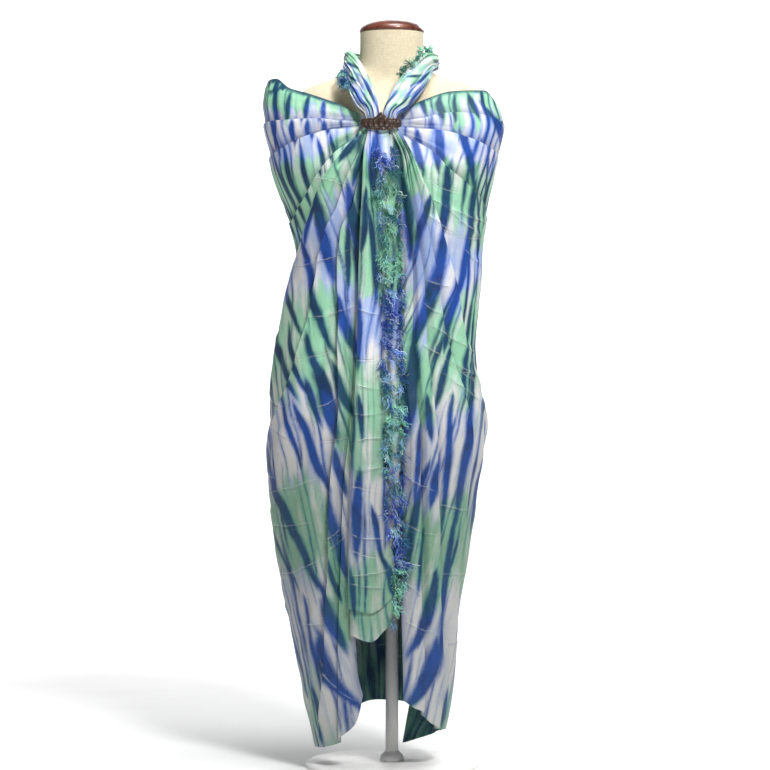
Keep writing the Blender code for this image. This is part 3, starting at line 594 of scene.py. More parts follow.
STRAP_STREAKS = (
    # side, place across at the start and the end, start and end along the strap, half width
    (-1, -0.95, -0.55, 0.04, 0.34, 0.12),
    (-1, -0.35, -0.2, 0.0, 0.2, 0.1),
    (-1, 0.1, 0.5, 0.04, 0.3, 0.16),
    (-1, 0.75, 0.35, 0.2, 0.36, 0.1),
    (-1, -0.2, 0.4, 0.28, 0.4, 0.12),
    (-1, -0.8, -0.1, 0.36, 0.46, 0.12),
    (-1, -0.65, -0.5, 0.48, 0.72, 0.2),
    (-1, 0.3, 0.1, 0.5, 0.8, 0.2),
    (1, -0.95, -0.6, 0.02, 0.2, 0.12),
    (1, -0.1, 0.1, 0.0, 0.12, 0.12),
    (1, 0.45, 0.3, 0.02, 0.3, 0.1),
    (1, 0.9, 0.75, 0.06, 0.4, 0.12),
    (1, -0.7, 0.1, 0.3, 0.38, 0.14),
    (1, 0.05, 0.55, 0.26, 0.44, 0.12),
    (1, -0.2, 0.3, 0.5, 0.78, 0.2),
    (1, 0.7, 0.4, 0.52, 0.86, 0.16),
)
# Fringe colours from the ring down: how green and how pale the yarn is
FRINGE_BANDS = (
    # height, how green, how pale
    (0.2, 0.85, 0.75),
    (0.27, 0.9, 0.8),
    (0.33, 0.9, 0.6),
    (0.37, 0.3, 0.25),
    (0.45, 0.15, 0.2),
    (0.53, 0.45, 0.35),
    (0.57, 0.9, 0.7),
    (0.66, 0.6, 0.5),
    (0.7, 0.1, 0.25),
    (0.8, 0.05, 0.3),
    (0.85, 0.75, 0.75),
    (0.91, 0.85, 0.55),
    (0.97, 0.75, 0.35),
    (1.01, 0.6, 0.3),
    (1.03, 0.05, 0.2),
    (1.1, 0.0, 0.15),
)
EVEN_HEIGHT = 0.6  # the height at which distances round the wrap are measured, where they have to be even
STRAND_CELLS = (12, 3)  # steps along a strand and points round it
STREAK_EDGE = 0.0022  # over this distance a streak fades out, and this share of its half width more
STREAK_SOFT = 0.55
STREAK_GROWTH = 1.34
STRONG = 1.0  # strength of a full streak
STREAK_GAP = 0.021  # mean distance between streaks round the sides and back
FRONT_REACH = 0.17  # distance from the ring that counts as the wrap's front
GATHER_GAIN = 1.5
FOLD_GAIN = 1.6
DRAPE_LEAN = 0.24  # how far the drapes' streaks lean towards the middle
LEFT_SHIFTS = (0.0, 0.018, -0.055, -0.11)  # how far up each fold's bands are moved
RIGHT_SHIFTS = (-0.015, 0.007, -0.045, 0.001)
WRAP_JOGS = (0.0, 0.005, -0.004, 0.003)  # how far streaks step sideways at each fold


# Curves and sections


def smooth(x, xs, ys):
    """A curve through (xs, ys) that doesn't overshoot, read at x. xs rise, and it is level past both ends."""
    xs, ys = np.asarray(xs, float), np.asarray(ys, float)
    h = np.diff(xs)
    slope = np.diff(ys) / h
    bend = np.zeros_like(ys)
    if len(xs) > 2:
        near, far = 2 * h[1:] + h[:-1], h[1:] + 2 * h[:-1]
        both = slope[:-1] * slope[1:] > 0
        left = np.where(both, slope[:-1], 1.0)
        right = np.where(both, slope[1:], 1.0)
        bend[1:-1] = np.where(both, (near + far) / (near / left + far / right), 0.0)
    bend[0], bend[-1] = slope[0], slope[-1]
    x = np.clip(np.asarray(x, float), xs[0], xs[-1])
    k = np.clip(np.searchsorted(xs, x, side="right") - 1, 0, len(h) - 1)
    t = (x - xs[k]) / h[k]
    rise = ys[k] * (1 + 2 * t) * (1 - t) ** 2 + ys[k + 1] * t * t * (3 - 2 * t)
    return rise + h[k] * (bend[k] * t * (1 - t) ** 2 - bend[k + 1] * t * t * (1 - t))


def ease(t):
    t = np.clip(t, 0.0, 1.0)
    return t * t * (3 - 2 * t)


def bump(t):
    return np.exp(-t * t)


def power(value, exponent):
    return np.sign(value) * np.abs(value) ** exponent


def unit(vectors):
    return vectors / np.linalg.norm(vectors, axis=-1, keepdims=True)


def real_size(points):
    """Points of the front half, brought from where they are seen to where they are."""
    share = np.minimum(points[..., 1:2], 0) / -VIEWER[1]
    return points + (points - VIEWER) * share * (1, 0, 1)


def as_seen(points):
    """X and Z of points as the viewer sees them."""
    share = 1 + np.minimum(points[..., 1], 0) / -VIEWER[1]
    x = VIEWER[0] + (points[..., 0] - VIEWER[0]) / share
    return x, VIEWER[2] + (points[..., 2] - VIEWER[2]) / share


def read(table, at, columns):
    """Some columns of a table, each a smooth curve over its first column."""
    rows = np.array(table)
    return [smooth(at, rows[:, 0], rows[:, k]) for k in columns]


def section(height):
    return read(OUTLINE, height, range(1, 5))


def on_body(angle, height, off):
    """Points and outward directions at an angle and height, off the outline."""
    middle, half, ahead, behind = section(height)
    turn = np.radians(angle)
    depth = np.where(np.cos(turn) > 0, ahead, behind)
    zero = np.zeros_like(turn)
    out = unit(np.stack([np.sin(turn) / half, -np.cos(turn) / depth, zero], -1))
    x = middle + half * power(np.sin(turn), SQUARENESS)
    y = -depth * power(np.cos(turn), SQUARENESS)
    at = np.stack([x, y, zero + height], -1)
    return real_size(at + out * np.asarray(off)[..., None]), out


def angle_at(x, height):
    """Angle of the front point with this X."""
    middle, half, _, _ = section(height)
    return np.degrees(np.arcsin(power(np.clip((x - middle) / half, -1, 1), 1 / SQUARENESS)))


def arc(angle, height):
    """Distance round the outline from the front's middle, negative towards -X."""
    steps = np.radians(np.arange(0, 361, 3.0))
    x = MEAN_HALF[0] * power(np.sin(steps), SQUARENESS)
    y = -MEAN_HALF[1] * power(np.cos(steps), SQUARENESS)
    run = np.append(0, np.cumsum(np.hypot(np.diff(x), np.diff(y))))
    _, half, _, _ = section(height)
    return np.sign(angle) * np.interp(np.abs(angle), np.degrees(steps), run) * half / MEAN_HALF[0]


def front_rows(table, *more):
    """Rows given in millimetres as seen from the front, in metres, with X as the distance round the outline.

    more is put after each row's own values.
    """
    rows = []
    for row in table:
        x0, z0, x1, z1, *sizes = (number / 1000 for number in row)
        ends = [float(arc(angle_at(x, z), z)) for x, z in ((x0, z0), (x1, z1))]
        rows.append((ends[0], z0, ends[1], z1, *sizes, *more))
    return rows


def wobble(u, v, seed, scale):
    """Smooth irregular relief from -1 to 1, with features of about this scale."""
    rng = np.random.default_rng(seed)
    total = 0.0
    for _ in range(7):
        turn, phase, size = rng.uniform(0, 2 * math.pi, 2).tolist() + [rng.uniform(0.6, 1.5)]
        total = total + np.sin((u * math.cos(turn) + v * math.sin(turn)) * 2 * math.pi * size / scale + phase)
    return np.tanh(total / 2.6)


# Meshes


def linked(name, data):
    made = bpy.data.objects.new(name, data)
    bpy.context.scene.collection.objects.link(made)
    return made


def mesh_object(name, points, faces, material, fields=None, sharp=55.0):
    """A smooth shaded object. fields are named values of its points, three numbers to a point."""
    mesh = bpy.data.meshes.new(name)
    mesh.from_pydata(np.asarray(points, float).reshape(-1, 3).tolist(), [], faces)
    for field, values in (fields or {}).items():
        made = mesh.attributes.new(field, "FLOAT_VECTOR", "POINT")
        made.data.foreach_set("vector", np.asarray(values, np.float32).ravel())
    mesh.materials.append(material)
    mesh.shade_smooth()
    mesh.set_sharp_from_angle(angle=math.radians(sharp))
    made = linked(name, mesh)
    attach(made, "root")
    return made


def grid_faces(rows, columns, start=0, turned=False):
    """Four-sided faces of a grid, whose triangles always meet from one corner to the next row and column."""
    at = start + np.arange(rows * columns).reshape(rows, columns)
    quads = np.stack([at[:-1, :-1], at[:-1, 1:], at[1:, 1:], at[1:, :-1]], -1).reshape(-1, 4)
    return quads[:, (0, 3, 2, 1)] if turned else quads


def cloth_fields(field, u, height, painted_shade, creases=None):
    """Named values of a sheet's points: dye, place on the flat cloth with the painted shade there, and
    creases.
    """
    cloth = np.stack([u, height, painted_shade], -1)
    plain = np.broadcast_to((CREASE_FAR, 0.0, 1.0), cloth.shape)
    return {"dye": field, "cloth": cloth, "crease": plain if creases is None else creases}


def shell(name, outer, out, material, fields):
    """A closed thin shell: its outer side is the grid of points, and its inner side lies against out."""
    rows, columns = outer.shape[:2]
    points = np.concatenate([outer, outer - out * THICK])
    i, j = rows // 2, columns // 2
    facing = np.cross(outer[i, j + 1] - outer[i, j], outer[i + 1, j] - outer[i, j]) @ out[i, j]
    turned = bool(facing < 0)
    faces = [grid_faces(rows, columns, 0, turned), grid_faces(rows, columns, rows * columns, not turned)]
    at = np.arange(rows * columns).reshape(rows, columns)
    rim = np.concatenate([at[:, 0], at[-1, 1:], at[-2::-1, -1], at[0, -2:0:-1]])
    after = np.roll(rim, -1)
    inside = rows * columns
    edge = np.stack([rim, after, after + inside, rim + inside], -1)
    faces.append(edge[:, ::-1] if turned else edge)
    both = {key: np.concatenate([value.reshape(-1, 3)] * 2) for key, value in fields.items()}
    return mesh_object(name, points, np.concatenate(faces).tolist(), material, both)


def tube_faces(count, sides, start=0, closed=False):
    """Faces of a tube through rings of points, with the two ends filled unless it is closed."""
    ring = np.arange(count if closed else count - 1)
    j = np.arange(sides)
    here = start + ring[:, None] * sides + j
    there = start + ((ring[:, None] + 1) % count) * sides + j
    faces = np.stack([here, np.roll(here, -1, 1), np.roll(there, -1, 1), there], -1).reshape(-1, 4).tolist()
    if not closed:
        faces.append([start + n for n in range(sides)][::-1])
        faces.append([start + (count - 1) * sides + n for n in range(sides)])
    return faces


def turned_object(name, profile, material, centre=(0.0, 0.0), sides=96, sharp=40.0):
    """A turned piece from (radius, height) pairs, bottom to top."""
    turn = np.linspace(0, 2 * math.pi, sides, endpoint=False)
    profile = np.array(profile)
    x = centre[0] + profile[:, :1] * np.cos(turn)
    y = centre[1] + profile[:, :1] * np.sin(turn)
    z = np.broadcast_to(profile[:, 1:], x.shape)
    points = np.stack([x, y, z], -1)
    return mesh_object(name, points, tube_faces(len(profile), sides), material, sharp=sharp)


# Dye


def streak_field(u, z, rows, coarse=0.0):
    """How near each point is to a streak: about 1 in its middle, 0.5 at its edge, below 0 away from all.

    coarse is how much wider than usual the mesh's columns are, which the streaks' edges are softened by.
    """
    found = np.full_like(u, -1.5)
    bend = 0.0016 * wobble(u, z, 5, 0.09)
    for u0, z0, u1, z1, bow, half, strength in rows:
        run = (z0 - z) / (z0 - z1)
        kept = np.clip(run, 0, 1)
        middle = u0 + (u1 - u0) * run + 4 * bow * kept * (1 - kept) + bend
        across = np.abs(u - middle) / math.hypot(1, (u1 - u0) / (z0 - z1))
        past = np.maximum(-run, run - 1) * (z0 - z1)
        fat = STREAK_GROWTH * half * np.sin(np.pi * (0.04 + 0.92 * kept)) ** 0.5 - 0.35 * np.maximum(past, 0)
        near = 0.5 + 0.5 * (fat + 0.3 * coarse - across) / (STREAK_EDGE + STREAK_SOFT * half + 0.8 * coarse)
        found = np.maximum(found, near - (1 - strength))
    return found


def spread_streaks(low_u, high_u, bottom, top, lean, seed, fine=1.0):
    """Streaks spread unevenly over a stretch of cloth. Fine ones are fainter and closer together."""
    rng = np.random.default_rng(seed)
    rows = []
    place = low_u
    while place < high_u:
        z = top + rng.uniform(-0.05, 0.10)
        while z > bottom:
            length = rng.uniform(0.12, 0.34)
            half = rng.choice((0.0026, 0.0036, 0.0054), p=(0.50, 0.35, 0.15)) * rng.uniform(0.85, 1.15)
            foot = place + lean * length + rng.uniform(-0.004, 0.004)
            strength = rng.uniform(0.34, 0.74) if fine < 1 else rng.uniform(0.62, 1.0)
            rows.append((place, z, foot, z - length, rng.uniform(-0.003, 0.003), half, strength))
            z -= length * rng.uniform(0.85, 1.15)
        place += fine * STREAK_GAP * rng.uniform(0.7, 1.3)
    return rows


def dye(u, z, rows, seed, shift=0.0, more=None, lean=0.0, coarse=0.0):
    """The dye field of a sheet. shift moves its bands up, and more is the nearness of other streaks."""
    table = np.array(BANDS)
    slant = u - lean * (1.1 - z)
    level = z - shift + 0.024 * wobble(u, z, seed + 1, 0.16)
    level = level + 0.020 * wobble(slant, 0.12 * z, seed + 2, 0.018)
    green = np.interp(level, table[:, 0], table[:, 1])
    green = np.maximum(green, np.clip(streak_field(u, z, front_rows(GREEN_STRIPS, STRONG)), 0, 1))
    pale = np.interp(level, table[:, 0], table[:, 2]) + 0.34 * wobble(slant, 0.25 * z, seed + 3, 0.040)
    near = streak_field(u, z, rows, coarse)
    near = near if more is None else np.maximum(near, more)
    return np.stack([near, green, np.clip(pale, 0, 1)], -1)


# Relief


def pleat(across, heights, lip):
    """Relief of the knife pleats: up over the lip at each fold line, then down to the next line."""
    k = np.clip(np.floor(across).astype(int), 0, len(heights) - 1)
    part = across - k
    down = (1 - np.clip((part - lip) / (1 - lip), 0, 1)) ** 1.3
    return np.asarray(heights)[k] * np.where(part < lip, ease(part / lip), down)


def rolled(across, lip, lean):
    """Positions across, drawn back at each fold's crest, so that its edge hangs over the fold behind it."""
    k = np.floor(across)
    part = across - k
    back = np.where(part < lip, ease(part / lip), 1 - ease((part - lip) / 0.30))
    return across - lean * back * (k > 0)


def pleat_painted_shade(across, lip, width):
    """How deep in the painted shade of the next pleat each point is. width is the distance between the fold
    lines.
    """
    part = across - np.floor(across)
    away = (1 - part) * width
    behind = np.maximum(bump(away / 0.0038), 0.60 * bump(away / 0.014))
    return np.maximum(behind, 0.7 * bump(part / np.maximum(0.4 * lip, 0.02)))


def ridges(across, down, rows, first):
    """Relief of the gathers below the ring, which start over the distance first."""
    total = 0.0
    for centre, width, height, reach in rows:
        fade = ease(down / first) * (1 - ease(down / reach))
        total = total + GATHER_GAIN * height * bump((across - centre) / width) * fade
    return total


def long_folds(at, height, rows, sway, waves, fades):
    """Relief of the folds that hang down, each from one place across to another.

    They sway by this much, in waves down the cloth and from fold to fold, and fade out over these heights.
    """
    total = 0.0
    for top_place, low_place, width, high, top, low in rows:
        share = np.clip((top - height) / (top - low), 0, 1)
        centre = top_place + (low_place - top_place) * share
        centre = centre + sway * np.sin(height * waves[0] + top_place * waves[1])
        fade = ease((top - height) / fades[0]) * ease((height - low) / fades[1])
        total = total + high * bump((at - centre) / width) * fade
    return total


def crease_rows():
    """The listed creases and those spread round the sides and back, in distance round and height."""
    rows = front_rows(CREASES)
    rng = np.random.default_rng(CREASE_SEED)
    for _ in range(CREASE_COUNT):
        side = rng.choice((-1, 1))
        u = side * rng.uniform(0.23, 0.46)
        z = rng.uniform(0.12, 1.05)
        length = rng.uniform(0.04, 0.13)
        tilt = rng.uniform(-0.5, 0.5)
        height = rng.choice((-0.0009, 0.0010, 0.0012))
        rows.append((u, z, u + length, z + tilt * length, rng.uniform(-0.01, 0.01), height, 0.0024))
    return rows


def creased(u, z, rows):
    """Relief of the creases, and for each point its distance over the nearest, how strong and which way."""
    relief = np.zeros_like(u)
    nearest = np.full_like(u, CREASE_FAR)
    strong = np.zeros_like(u)
    way_out = np.ones_like(u)
    for u0, z0, u1, z1, sag, height, width in rows:
        length = math.hypot(u1 - u0, z1 - z0)
        way = ((u1 - u0) / length, (z1 - z0) / length)
        along = ((u - u0) * way[0] + (z - z0) * way[1]) / length
        across = (z - z0) * way[0] - (u - u0) * way[1] + sag * np.sin(np.pi * np.clip(along, 0, 1))
        across = across + 0.0007 * np.sin(along * length * 120 + z0 * 60)
        hold = ease(along / 0.18) * ease((1 - along) / 0.25)
        wide = 2.6 * width
        relief += 1.2 * height * hold * (bump(across / wide) - 0.55 * bump((across - 4 * width) / wide))
        here = (np.abs(across) < np.abs(nearest)) & (hold > 0)
        nearest = np.where(here, across, nearest)
        strong = np.where(here, hold * (1 - ease(np.abs(across) / CREASE_FAR)), strong)
        way_out = np.where(here, math.copysign(1, height), way_out)
    return relief, np.stack([nearest, strong, way_out], -1)


def wrap_lines(angle):
    return np.stack(read(np.array(WRAP) * (-1, 1, 1, 1, 1, 1), -angle, range(1, 6)))


def from_ring(angle):
    """Degrees to the nearer end of the wrap."""
    return np.minimum(np.abs(angle - WRAP_TURNS[0]), np.abs(angle - WRAP_TURNS[-1]))


def wrap_lip(lines):
    """Share of each band between the wrap's lines that its pleat's steep side takes."""
    return np.clip(WRAP_LIP / (lines[:-1] - lines[1:]), 0.0, 0.3)


def in_front(near, end):
    """1 over the front of the wrap, and 0 well past this many degrees from its ends."""
    return 1 - ease((near - end) / FRONT_FADE)


def wrap_relief(angle, height, across, lip):
    """How far the wrap stands off the outline: pleats in front, soft upright folds at the sides and back."""
    near = from_ring(angle)
    front = in_front(near, PLEATS_END) * ease(near / 16)
    seat = WRAP_SEAT * (1 - ease(near / 8))
    back = ease((near - 74) / 30) * ease((1.13 - height) / 0.7)
    swing = np.cos(np.radians(angle) * BACK_FOLDS + 0.6 * np.sin(np.radians(angle) * 2))
    return seat + pleat(across, WRAP_PLEATS, lip) * front + BACK_FOLD_HEIGHT * back * (swing - 1) * 0.5


def under_drape(angle, height):
    """The wrap's relief at a point of a drape that lies on it."""
    angle = np.where(angle > -2, np.maximum(angle - 360, WRAP_TURNS[-1]), np.minimum(angle, WRAP_TURNS[0]))
    lines = wrap_lines(angle)
    across = np.zeros_like(angle)
    lip = wrap_lip(lines)
    here = lip[0]
    for k in range(len(lines) - 1):
        part = (lines[k] - height) / (lines[k] - lines[k + 1])
        across = np.where(part > 0, k + np.clip(part, 0, 1), across)
        here = np.where(part > 0, lip[k], here)
    return wrap_relief(angle, height, across, here)


def between(counts, crowding=1.0):
    """Positions across the fold lines, the last band's crowded towards its start."""
    found = []
    for k, count in enumerate(counts):
        grow = crowding if k == len(counts) - 1 else 1.0
        found.append(k + (np.arange(count) / count) ** grow)
    return np.append(np.concatenate(found), len(counts))


# Sheets


def wrap_dye(angle, height, near, band, u, top):
    """The wrap's dye, and the even distance round by which it is spread. top is the upper edge's height."""
    left = angle > -180
    whole = 2 * float(arc(180.0, EVEN_HEIGHT))
    even = arc(np.where(left, angle, angle + 360), EVEN_HEIGHT)
    even = np.where(left, even, even - whole)
    spread = spread_streaks(FRONT_REACH - whole, -FRONT_REACH, 0.05, 1.20, 0.0, 21)
    for start, seed in ((-FRONT_REACH, 23), (-whole, 22)):
        spread += spread_streaks(start, start + FRONT_REACH, 0.88, 1.19, 0.0, seed, 0.76)
    jog = np.asarray(WRAP_JOGS)[band] * ease(near / 12) * in_front(near, SHADE_END)
    field = dye(even, height, [], 31, 0.0, streak_field(even + jog, height, spread))
    seen = streak_field(u + jog, height, front_rows(WRAP_STREAKS, STRONG))
    hem = bump((top - height) / 0.0062) * np.where(left, 1.0, 0.7) * ease((near - 5) / 12)
    peak = left * ease((near - 38) / 12) * (1 - ease((near - 84) / 10)) * ease((height - 1.150) / 0.02)
    peak = peak * ease(0.5 + 1.3 * wobble(u, height, 77, 0.022))
    foot = 0.29 + 0.03 * wobble(even, 0.1 * height, 79, 0.03)
    inside = ease((near - 90) / 30) * ease((foot - height) / 0.12)
    rich = inside * (0.50 + 0.22 * wobble(even, 0.2 * height, 78, 0.030))
    field[..., 0] = np.maximum.reduce([field[..., 0], seen, 0.9 * hem, 0.85 * peak, rich])
    field[..., 1] = np.maximum.reduce([field[..., 1], hem, peak, 0.8 * inside])
    field[..., 2] *= 1 - np.maximum.reduce([hem, peak, inside])
    return field, even


def make_wrap(material, creases):
    """The middle of the cloth, from the ring the long way round the back to the ring."""
    turns = [np.linspace(a, b, n + 1)[:-1] for a, b, n in zip(WRAP_TURNS, WRAP_TURNS[1:], WRAP_CELLS)]
    angle = np.append(np.concatenate(turns), WRAP_TURNS[-1])
    near = from_ring(angle)
    lines = wrap_lines(angle)
    across = between(WRAP_BANDS, WRAP_CROWDING)[:, None] + 0 * angle
    band = np.clip(np.floor(across).astype(int), 0, len(lines) - 2)
    column = np.broadcast_to(np.arange(len(angle)), band.shape)
    lip = wrap_lip(lines)[band, column]
    front = in_front(near, PLEATS_END) * ease((near - 4) / 20)
    placed = rolled(across, lip, 1.25 * lip * front)
    at = np.clip(np.floor(placed).astype(int), 0, len(lines) - 2)
    part = placed - at
    height = lines[at, column] * (1 - part) + lines[at + 1, column] * part
    angle = np.broadcast_to(angle, height.shape)
    off = wrap_relief(angle, height, across, lip)
    side = np.where(angle > -180, -1, 1)
    for which, centre, width, high, reach in WRAP_GATHERS:
        fade = ease((near - 3) / 14) * (1 - ease((near - 4) / reach))
        off = off + high * bump((across - centre) / width) * fade * (side == which)
    off = off + long_folds(angle, height, UPRIGHT_FOLDS, 1.2, (17, 1), (0.10, 0.12))
    u = np.where(side < 0, arc(angle, height), arc(angle + 360, height))
    relief, lines_of_crease = creased(u, height, creases)
    off = off + relief + 0.0009 * wobble(u, height, 3, 0.07) * ease(near / 20)
    off = off - 0.0030 * bump(across / 0.10) * ease((near - 10) / 30)
    outer, out = on_body(angle, height, off)
    apart = (lines[:-1] - lines[1:])[band, column]
    # painted shade in the pleats' valleys, over the front of the wrap
    painted_shade = pleat_painted_shade(across, lip, apart) * ease((near - 2) / 8) * in_front(near, SHADE_END)
    field, even = wrap_dye(angle, height, near, band, u, lines[0])
    fields = cloth_fields(field, even, height, painted_shade, lines_of_crease)
    return shell("wrap_cloth", outer, out, material, fields)


def drape_grid(table, cells, hem):
    """A drape's points: height, place across its folds, fold number, width of that fold and angle."""
    columns = between(cells)
    share = smooth(np.linspace(0, 1, DRAPE_ROWS), np.linspace(0, 1, len(DRAPE_SPREAD)), DRAPE_SPREAD)
    low = smooth(columns, np.arange(len(hem)), hem)
    height = DRAPE_TOP + share[:, None] * (low - DRAPE_TOP)
    across = columns + 0 * height
    lines = np.stack(read(table, height, range(1, 6)))
    band = np.clip(np.floor(across).astype(int), 0, len(hem) - 2)
    first, last = (np.take_along_axis(lines, band[None] + k, 0)[0] for k in (0, 1))
    wide = np.abs(last - first) * DEGREE
    part = across - band
    back = np.where(part < DRAPE_LIP, ease(part / DRAPE_LIP), 1 - ease((part - DRAPE_LIP) / 0.35))
    back = back * (band > 0) * ease((DRAPE_TOP - height - 0.02) / 0.10)
    hang = DRAPE_LIP + np.clip(0.0045 / np.maximum(wide, 0.004), 0, 0.20)
    return height, across, band, wide, first + (last - first) * (part - hang * back)


def drape_dye(side, u, height, angle, seen_z, band, coarse, streaks, seed):
    """A drape's dye: its streaks lean to the middle, and its bands lie at another height on each fold."""
    lean = -DRAPE_LEAN * side
    rows = front_rows(streaks, STRONG)
    far = (-0.60, -0.22) if side < 0 else (0.20, 0.60)
    rows += spread_streaks(*far, 0.02, 0.80, 0.6 * lean, seed + 40)
    rows += spread_streaks(*sorted((-0.02 * side, 0.26 * side)), 0.05, 1.08, lean, seed + 41, 0.72)
    shift = np.asarray(LEFT_SHIFTS if side < 0 else RIGHT_SHIFTS)[band]
    shift = shift + 0.050 * ease((seen_z - 0.84) / 0.10)
    field = dye(u, seen_z, rows, seed + 2, shift, None, lean, coarse)
    inside = ease((np.abs(angle) - 92) / 20) * ease((0.26 - height) / 0.10)
    rich = inside * (0.52 + 0.22 * wobble(u, 0.2 * height, seed + 8, 0.03))
    field[..., 0] = np.maximum(field[..., 0], rich)
    field[..., 1] = np.maximum(field[..., 1], 0.8 * inside)
    field[..., 2] *= 1 - inside
    return field


def make_drape(name, side, table, cells, hem, pleats, gathers, streaks, creases, material, seed):
    """One of the two falls from the ring. side is -1 on the viewer's left and 1 on the right."""
    height, across, band, wide, angle = drape_grid(table, cells, hem)
    down = DRAPE_TOP - height
    fall = 1 - ease(down / GATHER_REACH)
    off = DRAPE_OFF + (DRAPE_GATHER - DRAPE_OFF) * fall + under_drape(angle, height)
    off += pleat(across, pleats, DRAPE_LIP) * (0.25 + 0.75 * ease(down / 0.16))
    off += DRAPE_BRIDGE * bump((height - WAIST) / 0.07) * (1 - ease(across / 2.2))
    off -= DRAPE_TUCK * (1 - ease(across / 0.2)) * (1 - fall)
    off += ridges(across, down, gathers, 0.045)
    folds = [row[1:] for row in DRAPE_FOLDS if row[0] == side]
    off += FOLD_GAIN * long_folds(across, height, folds, 0.03, (13, 5), (0.12, 0.10))
    u = arc(angle, height)
    relief, lines_of_crease = creased(u, height, creases)
    off += relief * ease(down / 0.06) + 0.0010 * wobble(u, height, seed, 0.08) * ease(down / 0.1)
    outer, out = on_body(angle, height, off)
    _, seen_z = as_seen(outer)
    coarse = np.maximum(wide / np.asarray(cells)[band] - USUAL_COLUMN, 0)
    field = drape_dye(side, u, height, angle, seen_z, band, coarse, streaks, seed)
    # painted shade in the pleats' valleys and on both sides of each gather below the ring
    painted_shade = pleat_painted_shade(across, DRAPE_LIP, wide) * ease(down / 0.03) * (across > 0.5)
    for centre, gather, _, reach in gathers:
        beside_painted_shade = np.abs((across - centre) / gather) - 1.5
        fade = ease(down / 0.02) * (1 - ease(down / (0.8 * reach)))
        painted_shade = np.maximum(painted_shade, 0.7 * bump(beside_painted_shade / 0.5) * fade)
    fields = cloth_fields(field, u + DRAPE_LEAN * side * (1.1 - height), height, painted_shade, lines_of_crease)
    return shell(name, outer, out, material, fields)


def flap_off(height, x, off):
    """How far a flap stands off the outline. Both flaps share one gentle wave, so they never meet."""
    down = DRAPE_TOP - height
    wave = FLAP_WAVE * np.cos(x * 150 + 1.2) * ease(down / 0.3)
    return off[0] + (off[1] - off[0]) * ease(down / FLAP_REACH) + wave


def make_flap(name, table, hem, off, creases, material, seed):
    """A narrow end of the cloth that hangs at the centre."""
    across = np.linspace(0, 1, FLAP_CELLS[0] + 1)
    low = smooth(across, (0, 0.5, 1), hem)
    height = DRAPE_TOP + np.linspace(0, 1, FLAP_CELLS[1] + 1)[:, None] * (low - DRAPE_TOP)
    left, right = read(table, height, (1, 2))
    right = right + 0.0014 * np.sin(height * 95 + seed) + 0.0010 * np.sin(height * 211)
    x = left + (right - left) * across
    down = DRAPE_TOP - height
    angle = angle_at(x, height)
    u = arc(angle, height)
    relief, lines_of_crease = creased(u, height, creases)
    stand = flap_off(height, x, off) + relief * 0.8
    stand += 0.0012 * wobble(u, height, seed, 0.09) * ease(down / 0.1)
    stand += ease(down / 0.04) * (1 - ease(down / 0.34)) * 0.0014 * np.cos(across * 19 + 0.6)
    stand -= 0.0005 * bump((height - low - 0.012) / 0.0016)
    outer, out = on_body(angle, height, stand)
    rows = front_rows(FLAP_STREAKS, STRONG) + spread_streaks(-0.09, 0.05, 0.2, 1.1, 0.0, seed + 60, 0.55)
    field = dye(u, height, rows, seed + 4, -0.100 * (1 - ease((height - 0.90) / 0.12)))
    edge = np.minimum(across, 1 - across) * (right - left)
    # painted shade along both long edges of the flap
    fields = cloth_fields(field, u, height, 0.6 * bump(edge / 0.004), lines_of_crease)
    return shell(name, outer, out, material, fields)


# Straps and the knot behind the neck


def strap_frame(table, stations):
    """Middle, directions and half sizes of a strap at evenly spaced stations."""
    table = np.array(table)
    steps = np.append(0, np.cumsum(np.linalg.norm(np.diff(table[:, :3], axis=0), axis=1)))
    at = np.asarray(stations) * steps[-1]
    middle = np.stack([smooth(at, steps, table[:, k]) for k in range(3)], -1)
    half, thick = (smooth(at, steps, table[:, k]) for k in (3, 4))
    along = unit(np.gradient(middle, axis=0))
    along[0] = (0, 0, 1)
    lean = 0.25 * (1 - ease((middle[:, 2] - 1.185) / 0.025))
    away = unit(middle * (1, 1, 0)) + np.outer(lean, (0, 0, 1))
    away[0] = (0, -1, 0)
    away = unit(away - along * np.sum(away * along, axis=1)[:, None])
    return middle, along, away, np.cross(along, away), half, thick


